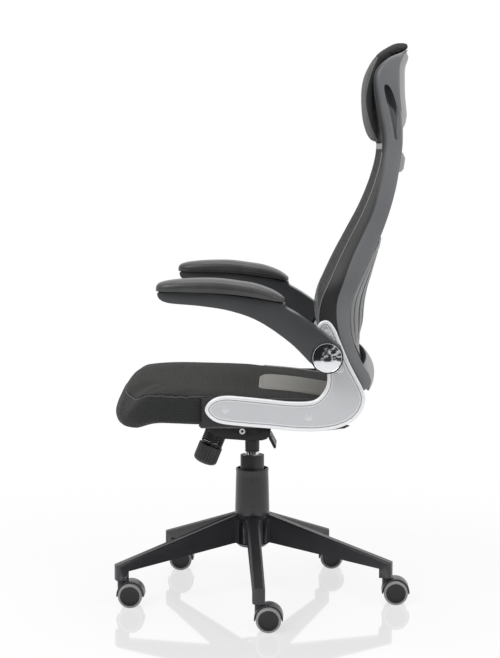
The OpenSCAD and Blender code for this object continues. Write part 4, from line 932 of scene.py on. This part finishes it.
def build_cushion():
    angles = even_angles(132)
    rings = [[seat_ring_point(a, step / 2) for a in angles] for step in range(2 * LAST_ROW + 1)]
    rim = rings[-1]
    for share in (0.92, 0.85, 0.78, 0.7, 0.6, 0.5, 0.4, 0.3, 0.2, 0.1):
        spots = [(x * share, SEAT_MID + (y - SEAT_MID) * share) for x, y, _ in rim]
        rings.append([(x, y, CUSHION_Z - 0.3 + crown(x, y)) for x, y in spots])
    cushion = skin("seat_cushion_cover", rings)
    remesh(cushion, 5.5)
    edit(cushion)
    select_all()
    bpy.ops.transform.shrink_fatten(value=-2.6 * MM)
    leave()
    swell(cushion, 4.5, lambda p: p[2] < 404 and abs(p[0]) < 215 and p[1] > -220)
    shape(cushion, "SMOOTH", factor=0.5, iterations=4)
    shape(cushion, "SUBSURF", levels=1, render_levels=1)
    points = coords(cushion)
    points[:, 1] -= NOSE_PULL * ease(np.clip((-170 - points[:, 1]) / 80, 0, 1))
    set_coords(cushion, points)
    find, _ = onto(cushion)
    seam = [find(seat_ring_point(a, SEAM_ROW + (SEAM_ROW_FRONT - SEAM_ROW) * front_share(a)))
            for a in even_angles(720)]
    seam = [find(p) for p in even(seam, 7.0)]
    sew(cushion, seam, 2.6, 3.6)
    for side in (-1, 1):
        sew(cushion, [find((side * 246, -91, z)) for z in np.arange(452, 394, -4)], 1.8, 2.4, closed=False)
    points = coords(cushion)
    _, near = to_line(points, seam)
    tag(cushion, "zone", np.where(points[:, 2] > near[:, 2] + 0.5, 1.0, 0.0))
    put(smooth(cushion, 60), "seat", "seat_fabric", "seat_cushion")
    find, _ = onto(cushion)
    put_wire("seat_piping", [find(p, 0.2) for p in seam], 1.5, "seat_fabric", SEAM_CLOTH, closed=True)
    build_inserts(cushion)


INSERT_X, INSERT_Y, INNER_CORNER, OUTER_CORNER, INSERT_STEPS = (66, 178), (18, 168), 34, 12, 40


def insert_spot(a, b):
    """A place on the left insert: its front corners are round, the inner one more so."""
    (x0, x1), (y0, y1) = INSERT_X, INSERT_Y
    x, y = x0 + (x1 - x0) * a, y0 + (y1 - y0) * b
    for side, edge, corner in ((1, x0, INNER_CORNER), (-1, x1, OUTER_CORNER)):
        u, v = (edge + side * corner - x) / (side * corner), (y0 + corner - y) / corner
        if u > 0 and v > 0:
            x = edge + side * corner * (1 - u * math.sqrt(1 - v * v / 2))
            y = y0 + corner - corner * v * math.sqrt(1 - u * u / 2)
    return x, y


def build_inserts(cushion):
    _, tree = onto(cushion)

    def top(a, b, lift):
        x, y = insert_spot(a, b)
        spot, _, _, _ = tree.ray_cast(Vector((x * MM, y * MM, 0.7)), Vector((0, 0, -1)))
        return x, y, spot[2] / MM + lift

    def panel_lift(a, b):
        edge = min(min(a, 1 - a) * (INSERT_X[1] - INSERT_X[0]), min(b, 1 - b) * (INSERT_Y[1] - INSERT_Y[0]))
        return 2.1 * (1 - math.exp(-edge / 2.2)) - 0.2

    shares = [i / INSERT_STEPS for i in range(INSERT_STEPS + 1)]
    rows = [[top(a, b, panel_lift(a, b)) for a in shares] for b in shares]
    panel = skin("seat_insert_left_panel", rows, around=False)
    shape(panel, "SOLIDIFY", thickness=1.2 * MM, offset=-1)
    edit(panel)
    face_out()
    leave()
    put_pair(smooth(panel, 50), "seat", "insert_fabric", "seat_insert_left")
    corners = np.array([(0.045, 0.045), (0.955, 0.045), (0.955, 0.955), (0.045, 0.955)])
    loop = even([np.array(top(*(corners[k] * (1 - t) + corners[(k + 1) % 4] * t), 1.9))
                 for k in range(4) for t in np.arange(0, 1, 0.02)], 2.6)
    dip = (0, 0, 0.35)
    stitches = [tube("stitch", [a - dip, a * 0.5 + b * 0.5, b - dip], 0.42, 5)
                for a, b in zip(loop[:-1:2], loop[1::2])]
    put_pair(called(joined(*stitches), "seat_insert_left_stitching"), "seat", "insert_fabric", finish=THREAD)


# Side brackets and arms

BRACKET_Y, BRACKET_Z, BRACKET_L, BRACKET_H = -84.5, 390.2, 314, 219
BRACKET_IN, BRACKET_OUT, ARM_IN, ARM_OUT = 246.02, 260.02, 264.02, 312.02
HUB_Y, HUB_Z, ARM_REACH, ARM_RISE = 154.14, 541.31, 327, 126
BRACKET_SHARES = [
    (0, 0.195), (0.03, 0.115), (0.10, 0.065), (0.25, 0.04), (0.41, 0.022), (0.56, 0.002), (0.70, 0), (0.82, 0.025),
    (0.915, 0.085), (0.975, 0.175), (0.999, 0.285), (0.98, 0.395), (0.905, 0.60), (0.845, 0.80), (0.81, 0.92),
    (0.765, 0.992), (0.715, 0.975), (0.69, 0.89), (0.70, 0.76), (0.745, 0.62), (0.762, 0.51), (0.755, 0.40),
    (0.715, 0.31), (0.655, 0.268), (0.53, 0.264), (0.40, 0.281), (0.25, 0.302), (0.12, 0.312), (0.04, 0.275)]
BOLT_SHARES = [(0.13, 0.19), (0.648, 0.125), (0.765, 0.88), (0.84, 0.56)]
# Width and depth of each step of the face, from the rim inwards: a bead, a groove and the panel
BRACKET_STEPS = ((3.2, 0), (1.1, -1.6), (1.1, 1.2), (2.4, 0.1), (0.9, -1.0))


def on_bracket(share):
    return BRACKET_Y + share[0] * BRACKET_L, BRACKET_Z + share[1] * BRACKET_H


def on_hub(x):
    return shifted(x, HUB_Y, HUB_Z) @ ALONG_X


def build_brackets():
    outline = smooth_loop([on_bracket(s) for s in BRACKET_SHARES], 5)
    bracket = plate("bracket_left_casting", outline, BRACKET_IN, BRACKET_OUT)
    leave()
    soften(bracket, 3.2, 5, 40)
    edit(bracket)
    select_faces(lambda f: f.normal.x > 0.99 and len(f.verts) > 60)
    for thickness, depth in BRACKET_STEPS:
        bpy.ops.mesh.inset(thickness=thickness * MM, depth=depth * MM, use_even_offset=False)
    leave()
    points = coords(bracket)
    points[:, 0] = BRACKET_OUT
    far, _ = to_line(points, [(BRACKET_OUT, y, z) for y, z in outline])
    # Painted light tags: highlight on the rim (1), shade in the groove (-1) and on the inner panel (-0.14), a paler
    # step between (0.3)
    tag(bracket, "rim", np.select([far < 6.9, far < 8.2, far > 11.2], [1.0, -1.0, -0.14], 0.3))
    boss = move(turned("boss", [(27, 0), (27, 3.2), (26.5, 3.7), (6.2, 3.7)], 72), on_hub(BRACKET_OUT - 0.2))
    put_pair(smooth(joined(bracket, boss), 30), "seat", "silver_casting", "bracket_left")
    head_rows = [(4.0, -13.5), (4.0, 0), (7.6, 0), (7.8, 0.3), (7.8, 0.8), (7.5, 1.3), (6.6, 1.7), (4.6, 2.05),
                 (2.2, 2.2)]
    # A grey ring round each bolt head is painted shade standing in for the dark gap round it
    gap_rows = [(7.9, -1), (7.9, 0.5), (9.2, 0.5), (9.4, -1)]
    for name, rows, ring, node, finish in (
            ("bracket_bolt_heads", head_rows, False, "bracket_bolts", None),
            ("bracket_bolt_shade_rings", gap_rows, True, "", moulded("bolt_ring_painted_shade", (184, 185, 187), 0.4, 0.02))):
        places = [shifted(BRACKET_OUT - 2.0, *on_bracket(share)) @ ALONG_X for share in BOLT_SHARES]
        piece = both_sides(joined(*[move(turned(name, rows, 48, ring), place) for place in places]))
        put(smooth(called(piece, name), 30), "seat", "silver_casting", node, finish)


ARM_UNDER = [(1.0, 0.97), (0.985, 0.885), (0.925, 0.825), (0.75, 0.785), (0.57, 0.71), (0.40, 0.55), (0.22, 0.23),
             (0.10, -0.08)]
ARM_UPPER = [(-0.085, 0.14), (0.04, 0.41), (0.16, 0.63), (0.245, 0.76), (0.26, 0.825), (0.45, 0.915), (0.70, 0.985),
             (0.995, 1.0)]
HUB_R, PAD_HALF, PAD_H = 31, 40, 27
# Place on the arm, share of the pad's height and of its half width
PAD_ROWS = [
    (1.008, 1.0, 0.34, 0.45), (0.998, 1.0, 0.52, 0.66), (0.978, 0.998, 0.64, 0.80), (0.93, 0.995, 0.78, 0.93),
    (0.82, 0.992, 0.92, 1.0), (0.66, 0.98, 1.0, 1.0), (0.52, 0.95, 0.94, 1.0), (0.42, 0.915, 0.90, 1.0),
    (0.33, 0.87, 0.72, 0.96), (0.285, 0.85, 0.50, 0.86), (0.258, 0.84, 0.30, 0.62), (0.25, 0.835, 0.18, 0.42)]
# Shares of the half width and the height, and the rounding, of each corner
PAD_SECTION = [(-0.9, 0, 1.5), (0.9, 0, 1.5), (1, 0.3, 6), (0.93, 0.78, 9), (0.55, 1, 14), (-0.55, 1, 14),
               (-0.93, 0.78, 9), (-1, 0.3, 6)]


def on_arm(share):
    return HUB_Y - share[0] * ARM_REACH, HUB_Z + share[1] * ARM_RISE


def build_arms():
    under = smooth_rows([on_arm(s) for s in ARM_UNDER], 6)
    upper = smooth_rows([on_arm(s) for s in ARM_UPPER], 5)
    ends = [math.atan2(p[1] - HUB_Z, p[0] - HUB_Y) for p in (under[-1], upper[0])]
    arc = [(HUB_Y + HUB_R * math.cos(a), HUB_Z + HUB_R * math.sin(a))
           for a in np.linspace(ends[0], ends[1], 26)[1:-1]]
    arm = plate("arm_left_moulding", even([*under, *arc, *upper], 5.0), ARM_IN, ARM_OUT)
    leave()
    soften(arm, 5.5, 5, 40)
    boss_rows = [(31, 0), (31, 44), (30.8, 45.6), (30.3, 46.3), (29.3, 46.5), (28.9, 46.2), (28.8, 38)]
    arm = smooth(joined(arm, move(turned("arm_hub", boss_rows, 96), on_hub(ARM_IN))), 34)
    ring = turned("hub_ring_left", [
        (28.75, -1.5), (30.4, -1.5), (31, -0.8), (31, 0.9), (30.5, 1.7), (29.7, 2.1), (29, 1.9), (28.75, 1.2)],
        ring=True)
    cap = turned("hub_cap_left_disc", [
        (28.6, -3), (28.6, 1.0), (28.5, 1.8), (28.2, 2.3), (27.9, 2.4), (27.5, 2.2), (27.3, 1.9), (24, 2.06),
        (21, 2.22), (18, 2.36), (14, 2.51), (10, 2.62), (6, 2.68), (2, 2.7)])
    mid = (ARM_IN + ARM_OUT) / 2
    rings = []
    for along_arm, up_arm, tall, wide in smooth_rows(PAD_ROWS, 4):
        y, z = on_arm((along_arm, up_arm))
        corners = [(mid + PAD_HALF * wide * x, z + 0.6 + PAD_H * tall * up) for x, up, _ in PAD_SECTION]
        rings.append([(x, y, up) for x, up in rounded(corners, [corner[2] for corner in PAD_SECTION], 3)])
    pad = skin("arm_pad_left_skin", rings)
    shape(pad, "SMOOTH", factor=0.35, iterations=3)
    shape(pad, "SUBSURF", levels=1, render_levels=1)
    put_pair(arm, "arm_left", "arm_plastic", "arm_left")
    for piece in put_pair(smooth(pad, 60), "arm_left", "pad_foam", "arm_pad_left"):
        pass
    for piece, node, finish in ((ring, "", FINISH["collar_plastic"]), (cap, "hub_cap_left", None)):
        put_pair(smooth(move(piece, on_hub(ARM_OUT)), 40), "arm_left", "chrome", node, finish)


# Back

BACK_Z, BACK_Y, BACK_H, BACK_SWEEP, BACK_HALF_W, RAIL_W = 459.9, 137.14, 676, 180, 245.5, 25
# Share of the height, then front edge, band edge and rear edge by share of the sweep, and share of the half width
RAIL_ROWS = [
    (0.012, 0.35, 0.49, 0.575, 0.968), (0.048, 0.23, 0.44, 0.578, 0.980), (0.090, 0.145, 0.353, 0.49, 0.995),
    (0.130, 0.083, 0.283, 0.422, 1.0), (0.165, 0.039, 0.239, 0.372, 1.0), (0.222, 0.0, 0.2, 0.344, 1.0),
    (0.275, 0.028, 0.206, 0.372, 1.0), (0.328, 0.111, 0.272, 0.458, 0.986), (0.393, 0.222, 0.361, 0.578, 0.925),
    (0.460, 0.35, 0.483, 0.686, 0.85), (0.526, 0.478, 0.603, 0.778, 0.79), (0.595, 0.586, 0.683, 0.85, 0.735),
    (0.660, 0.661, 0.742, 0.894, 0.695), (0.714, 0.694, 0.761, 0.922, 0.665), (0.763, 0.678, 0.75, 0.928, 0.652),
    (0.819, 0.639, 0.706, 0.914, 0.640), (0.874, 0.606, 0.672, 0.894, 0.635), (0.925, 0.606, 0.661, 0.889, 0.618),
    (0.955, 0.667, 0.706, 0.893, 0.597), (0.979, 0.778, 0.806, 0.925, 0.562), (0.993, 0.90, 0.917, 0.962, 0.510),
    (0.9995, 0.945, 0.955, 0.985, 0.490)]
RAIL_LINE = smooth_rows(RAIL_ROWS, 5)


def rail_at(share):
    """Height, front edge, band edge, rear edge and half width of the rails at a share of the height."""
    front, band, rear, half = look_up(share, RAIL_LINE)
    return (BACK_Z + share * BACK_H, BACK_Y + front * BACK_SWEEP, BACK_Y + band * BACK_SWEEP,
            BACK_Y + rear * BACK_SWEEP, half * BACK_HALF_W)


def bowed(name, low, high, bow, wall, rows, radius=3.0, taper=((0, 1), (1, 1))):
    """A wall from rail to rail whose rear is bowed past the rails, less so where taper says."""
    soft = 0.75 * min(radius, wall / 2)
    rings = []
    for u in np.linspace(-1, 1, 33):
        rear, front = [], []
        for i in range(rows + 1):
            z, _, _, back, half = rail_at(low + (high - low) * i / rows)
            x, y = u * (half - RAIL_W / 2), back - 2.5 + bow * (1 - u * u) * look_up(i / rows, taper)
            ends = soft if i in (0, rows) else 0
            rear.append((x, y - ends, z))
            front.append((x, y - wall + ends, z))
        rings.append(rear + front[::-1])
    return skin(name, rings)


# Share of the sweep and of the height round the slot beside the headrest
SLOT_SHARES = [(0.849, 0.737), (0.872, 0.749), (0.872, 0.815), (0.844, 0.845), (0.811, 0.873), (0.766, 0.894),
               (0.722, 0.897), (0.716, 0.882), (0.738, 0.852), (0.772, 0.824), (0.794, 0.794), (0.811, 0.765),
               (0.827, 0.743)]
SHELL_TAPER = ((0, 0.35), (0.1, 0.8), (0.2, 1), (0.9, 1), (0.95, 0.85), (1, 0.35))
NECK_TAPER = ((0, 0.94), (0.1, 1), (0.62, 1), (0.85, 0.7), (1, 0.3))


def build_rail():
    rings = []
    for row in RAIL_LINE:
        z, front, band, rear, out = rail_at(row[0])
        rear -= 13 * max(0, (0.034 - row[0]) / 0.022) ** 2
        deep = rear - front
        corners = [(out - RAIL_W * 0.24, front), (out, band), (out - RAIL_W * 0.12, rear),
                   (out - RAIL_W, rear - deep / 12), (out - RAIL_W, front + deep * 0.32), (out - RAIL_W * 0.56, front)]
        rings.append([(x, y, z) for x, y in rounded(corners, [3.5, 9, 5, 5, 4, 2.5], 4)])
    rail = skin("rail", rings)
    outline = smooth_loop([(BACK_Y + y * BACK_SWEEP, BACK_Z + z * BACK_H) for y, z in SLOT_SHARES], 4)
    cutter = close(plate("cutter", outline, 0.575 * BACK_HALF_W, BACK_HALF_W))
    points = coords(cutter)
    low, high = points[:, 2].min(), points[:, 2].max()
    points[:, 0] += np.where(points[:, 0] < 150, 9 * ((high - points[:, 2]) / (high - low)), 5)
    set_coords(cutter, points)
    shape(rail, "BOOLEAN", operation="DIFFERENCE", object=cutter, solver="EXACT")
    bpy.data.objects.remove(cutter)
    return smooth(soften(rail, 0.8, 2, 50), 36)


def mark_tones(body):
    """Tags each point with its distance behind the front facet's edge, or with a mark of painted light or painted
    shade.
    """
    points = coords(body)
    shares = (points[:, 2] - BACK_Z) / BACK_H
    _, _, edges, rears, outs = np.array([rail_at(share) for share in shares]).T
    past, wide = points[:, 1] - edges, np.abs(points[:, 0])
    slot = (wide < outs - 3) & (wide > 138) & (past > 0)
    foot = (shares < 0.083) & (points[:, 1] > BACK_Y + 0.52 * BACK_SWEEP) & (wide < 215)
    # Painted light on the lower slot floor and on the rear of the foot bar
    past[slot & (shares > 0.73) & (shares < 0.82) | foot] = PAINTED_LIGHT_MARK
    # Painted shade in the upper slot
    past[slot & (points[:, 1] < rears - 7) & (shares > 0.84) & (shares < 0.90)] = PAINTED_SHADE_MARK
    tag(body, "past_band", past)


def build_frame():
    rail = build_rail()
    twin = copy(rail, "rail_right", MIRROR)
    neck = smooth(bowed("neck", 0.642, 0.706, 18, 10, rows=8, radius=4, taper=NECK_TAPER), 40)
    foot = smooth(bowed("foot", 0.010, 0.082, 15, 5, rows=8, radius=2), 40)
    body = called(joined(rail, twin, neck, foot), "back_frame_moulding")
    mark_tones(body)
    put(body, "seat", "frame_plastic", "back_frame")
    shell = bowed("headrest_shell_moulding", 0.766, 0.999, 19, 5, rows=20, taper=SHELL_TAPER)
    # A near-black sheet in front of the foot bar is painted shade on its inner face
    shade_sheet = move(bowed("foot_bar_shade_sheet", 0.0105, 0.077, 15, 1.6, rows=6, radius=1), shifted(0, -4.2, 0))
    z0, y0, _, _, half = rail_at(0.710)
    z1, y1, _, _, _ = rail_at(0.729)
    half -= RAIL_W / 2
    line = rounded([(y0, z0), (y0 + 10, z0), (y1 + 10, z1), (y1, z1)], 3, 4)
    bar = skin("headrest_cross_bar", [[(x, y, z) for y, z in line] for x in np.linspace(-half, half, 9)])
    for piece, angle, finish in (
            # The shell's grey, paler than the frame's, is painted light from behind
            (soften(shell, 0.8, 2, 50), 36, moulded("headrest_shell_plastic_painted_light", (126, 127, 129), 0.36, 0.03, 950, 0.06)),
            (shade_sheet, 40, moulded("foot_bar_painted_shade", (24, 24, 25), 0.6, 0.03)),
            (bar, 40, moulded("cross_bar_plastic", (108, 109, 110), 0.4, 0.03))):
        put(smooth(piece, angle), "seat", "frame_plastic", finish=finish)


NET_LOW, NET_HIGH, NET_COLUMNS, NET_ROWS = 0.085, 0.7145, 33, 73
# How far the mesh stands forward at its middle, by share of the back's height
NET_BOW = smooth_rows([(0.085, 0), (0.14, 6), (0.20, 10), (0.29, 11), (0.40, 10), (0.50, 7.5), (0.60, 6.5), (0.68, 3),
                       (0.7145, 0.5)], 4)


def build_mesh():
    rows = []
    for share in np.linspace(NET_LOW, NET_HIGH, NET_ROWS):
        z, front, _, _, out = rail_at(share)
        half, bow = out - RAIL_W * 0.56 - 2.0, look_up(share, NET_BOW)
        rows.append([(u * half, front + 2.4 - bow * (1 - u * u), z) for u in np.linspace(-1, 1, NET_COLUMNS)])
    net = smooth(skin("back_mesh_cloth", rows, around=False), 60)
    put(net, "seat", "mesh_fabric", "back_mesh")
    points = np.array(rows)
    edge = [rail_at(share) for share in np.linspace(0.20, 0.70, 80)]
    for side, word in ((-1, "right"), (1, "left")):
        # A painted highlight: a pale wire along the rail's front edge
        highlight_path = [(side * (out - RAIL_W * 0.24 + 0.3), front + 1.0, z) for z, front, _, _, out in edge]
        put_wire("rail_trim_" + word, highlight_path, 0.55, "frame_plastic", RAIL_EDGE_HIGHLIGHT, sides=6)
        welt = [(-side * x, y, z) for x, y, z in points[:, 0]]
        put_wire("mesh_welt_" + word, welt, 1.5, "mesh_fabric", SEAM_CLOTH)


# How far the slats stand out at the middle of the back, by share of the panel's height
LUMBAR_BOW = smooth_rows([(0, 0.05), (0.07, 0.32), (0.2, 0.82), (0.33, 1), (0.48, 1), (0.58, 0.90), (0.68, 0.78),
                          (0.78, 0.63), (0.9, 0.46), (1, 0.28)], 5)
LUMBAR_LOW, LUMBAR_SPAN, LUMBAR_DEEP = 0.112, 0.333, 34
# Middle and half width of each slat, by share of the half width
SLATS = [(k / 4 - 1, 0.095) for k in range(1, 8)] + [(-0.93, 0.06), (0.93, 0.06)]


def lumbar_point(share, u):
    z, _, _, rear, half = rail_at(LUMBAR_LOW + LUMBAR_SPAN * share)
    return u * (half - RAIL_W - 0.3), rear + LUMBAR_DEEP * look_up(share, LUMBAR_BOW) * (1 - u * u), z


def build_lumbar():
    pieces = []
    for middle, half in SLATS:
        rings = []
        for share in np.linspace(0.05, 0.95, 41):
            (x0, y0, z), (x1, y1, _) = (lumbar_point(share, middle + side * half) for side in (-1, 1))
            rings.append([(x, y, z) for x, y in rounded([(x0, y0 - 5), (x1, y1 - 5), (x1, y1), (x0, y0)], 1.6, 3)])
        pieces.append(skin("slat", rings))
    for low in (0, 0.9):
        rings = []
        for u in np.linspace(-1, 1, 49):
            (x, y0, z0), (_, y1, z1) = lumbar_point(low, u), lumbar_point(low + 0.1, u)
            line = rounded([(y0 + 1.25, z0), (y1 + 1.25, z1), (y1 - 6.25, z1), (y0 - 6.25, z0)], 3, 3)
            rings.append([(x, y, z) for y, z in line])
        pieces.append(skin("band", rings))
    put(smooth(called(joined(*pieces), "lumbar_panel_moulding"), 40), "seat", "lumbar_plastic", "lumbar_panel")


HEAD_HALF, HEAD_POWER = 139, 0.42
# Share of the height, rear and front by share of the sweep, and share of the half width
HEAD_ROWS = [
    (0.727, 0.705, 0.690, 0.60), (0.733, 0.700, 0.655, 0.76), (0.742, 0.690, 0.620, 0.86), (0.755, 0.678, 0.590, 0.92),
    (0.773, 0.655, 0.565, 0.96), (0.805, 0.625, 0.536, 1.0), (0.85, 0.605, 0.520, 1.0), (0.895, 0.602, 0.521, 1.0),
    (0.93, 0.622, 0.545, 0.98), (0.955, 0.680, 0.582, 0.94), (0.978, 0.785, 0.630, 0.89), (0.993, 0.900, 0.680, 0.84),
    (1.002, 0.995, 0.725, 0.80), (1.013, 1.010, 0.795, 0.74), (1.022, 0.985, 0.860, 0.62)]
# The seam round the front panel, from its top down one side
HEAD_SEAM = [(251.5, 1120), (248, 1111), (242.2, 1096), (236.2, 1080), (232.2, 1063), (229.8, 1047), (229.8, 1030),
             (232.5, 1011), (236.6, 994), (242.4, 978), (249, 965.5), (254.4, 957)]


def head_seam_top(u):
    return 1119 + 4 * (1 - u * u)


def head_seam(pad):
    """The seam laid on the pad, and the half width of its top."""
    find, tree = onto(pad)
    left = []
    for y, z in smooth_rows(HEAD_SEAM, 4):
        hit, _, _, _ = tree.ray_cast(Vector((0.0003, y * MM, z * MM)), Vector((1, 0, 0)))
        left.append(find((126, y, z)) if hit is None else np.array(hit) / MM)
    top_half, foot_half = left[0][0], left[-1][0]
    foot = [find((foot_half * u, 252, 953)) for u in np.linspace(0.9, -0.9, 12)]
    top = [find((top_half * u, 254, head_seam_top(u))) for u in np.linspace(-0.96, 0.96, 16)]
    loop = left + foot + [p * (-1, 1, 1) for p in left[::-1]] + top
    return [find(p) for p in even(loop, 4.0)], top_half


def build_headrest():
    rings = []
    for up, rear, front, wide in smooth_rows(HEAD_ROWS, 4):
        z, back, deep = BACK_Z + up * BACK_H, BACK_Y + rear * BACK_SWEEP - 0.6, (rear - front) * BACK_SWEEP
        rings.append([(math.copysign(abs(math.cos(a)) ** HEAD_POWER, math.cos(a)) * HEAD_HALF * wide,
                       back - deep * math.sin(a) ** HEAD_POWER, z) for a in (math.pi * k / 40 for k in range(41))])
    pad = skin("headrest_cushion", rings)
    remesh(pad, 4.0)
    swell(pad, 3.0, lambda p: False)
    shape(pad, "SMOOTH", factor=0.5, iterations=4)
    shape(pad, "SUBSURF", levels=1, render_levels=1)
    seam, top_half = head_seam(pad)
    sew(pad, seam, 1.8, 2.8)
    points = coords(pad)
    order = np.array(HEAD_SEAM[::-1])
    edge = np.interp(points[:, 2], order[:, 1], order[:, 0])
    reach = np.clip(np.abs(points[:, 0]) / top_half, 0, 1)
    tag(pad, "zone", ((points[:, 1] < edge) & (points[:, 2] < head_seam_top(reach))).astype(float))
    put(smooth(pad, 60), "seat", "head_fabric", "headrest_pad")
    find, _ = onto(pad)
    put_wire("headrest_piping", [find(p, 0.3) for p in seam], 1.2, "head_fabric",
             cord_cloth("headrest_piping_cord", 96, 146), closed=True)


# Room, light and camera

def build_stage():
    """A white floor that mirrors faintly, and a room that is white behind the chair and dim in front of it."""
    leave()
    bpy.ops.mesh.primitive_plane_add(size=60, location=(0, 0, 0))
    floor = called(bpy.context.object, "studio_floor")
    finish = Finish("studio_floor_white")
    _, x, y, _ = finish.place()
    eye = finish.add("ShaderNodeLightPath", out="Is Camera Ray")
    glance = finish.add("ShaderNodeLightPath", out="Is Glossy Ray")
    matte = finish.add("ShaderNodeBsdfDiffuse", values={"Color": linear(250)})
    mirror = finish.add("ShaderNodeBsdfGlossy", values={"Color": linear(255), "Roughness": 0.05})
    ground = finish.add("ShaderNodeMixShader", values={0: eye * 0.6, 1: matte, 2: mirror})
    lit = finish.add("ShaderNodeEmission", values={"Color": (1, 1, 1, 1), "Strength": 1.0})
    unlit = finish.add("ShaderNodeEmission", values={"Color": linear(40), "Strength": 1.0})
    bearing = finish.add("ShaderNodeCombineXYZ", values={0: y / x, 1: x ** -1 * 1000})
    clutter = finish.noise(bearing, 30, 1, 0.5).step(0.54, 0.57) * (y / x).step(-0.02, 0.0)
    beyond = x.step(3800, 4000) * glance * (1 - clutter * 0.75)
    white = finish.add("ShaderNodeMixShader", values={0: beyond, 1: lit, 2: unlit})
    away = ((x * x + y * y) ** 0.5).step(450, 1500)
    share = eye * (away * 0.32 + 0.68) + glance * (x.step(3700, 3800) * 0.15 + 0.85)
    finish.add_output(finish.add("ShaderNodeMixShader", values={0: share, 1: ground, 2: white}))
    finish.on(floor)

    scene.world = bpy.data.worlds.new("studio_world")
    scene.world.use_nodes = True
    room = Finish("studio_world", scene.world)
    way = room.add("ShaderNodeTexCoord", out="Generated")
    lean = room.add("ShaderNodeSeparateXYZ", values={0: way})
    rise = Value(room, lean.socket.node.outputs[2])
    eye = room.add("ShaderNodeLightPath", out="Is Camera Ray")
    glance = room.add("ShaderNodeLightPath", out="Is Glossy Ray")
    dim = lean.step(0.05, 0.5) * (1 - rise.step(0.5, 0.8))
    clutter = room.noise(way, 6, 3).step(0.56, 0.60)
    hall = room.mix(clutter * 0.5, linear(44), linear(235))
    seen = room.mix(dim, (1, 1, 1, 1), hall)
    color = room.mix(glance, linear(186, 187, 189), seen)
    color = room.mix(eye, color, (1, 1, 1, 1))
    room.add_output(room.add("ShaderNodeBackground", values={"Color": color, "Strength": 1.0}))

    for name, place, size, power in (
            ("key_lamp", (2.4, -1.9, 3.0), 1.8, 58), ("fill_lamp", (2.6, 2.6, 2.2), 1.6, 30),
            ("top_lamp", (-0.6, 0.1, 3.4), 1.8, 24)):
        lamp = bpy.data.lights.new(name, "AREA")
        lamp.energy, lamp.size = power, size
        obj = bpy.data.objects.new(name, lamp)
        obj.location = place
        obj.rotation_euler = (Vector((0, 0, 0.55)) - Vector(place)).to_track_quat("-Z", "Y").to_euler()
        scene.collection.objects.link(obj)


def build_camera():
    """Stands the camera where the photo was taken from, by the fit of its perspective."""
    yaw, pitch, focal_pixels, picture_pixels = math.radians(-1.97), math.radians(5.79), 1740, 658
    way = Vector((-math.cos(yaw) * math.cos(pitch), math.sin(yaw) * math.cos(pitch), -math.sin(pitch)))
    lens = bpy.data.cameras.new("photo_camera")
    lens.sensor_fit = "VERTICAL"
    lens.sensor_height = 36
    lens.lens = focal_pixels / picture_pixels * lens.sensor_height
    camera = bpy.data.objects.new("photo_camera", lens)
    camera.location = (3.628, 0.120, 0.933)
    camera.rotation_euler = way.to_track_quat("-Z", "Y").to_euler()
    scene.collection.objects.link(camera)
    scene.camera = camera


build_camera()
build_base()
build_castors()
build_mechanism()
build_pan()
build_cushion()
build_brackets()
build_arms()
build_frame()
build_mesh()
build_lumbar()
build_headrest()
build_stage()

# The CAD nodes that still show take a finish from their own slot
slots = {part["node"]: part["material_slot"] for part in frame["record"]["subparts"]}
for node, obj in frame["nodes"].items():
    if not obj.hide_render:
        FINISH[slots[node]].on(obj)
        smooth(obj, 30)

scene.view_settings.view_transform = "Standard"
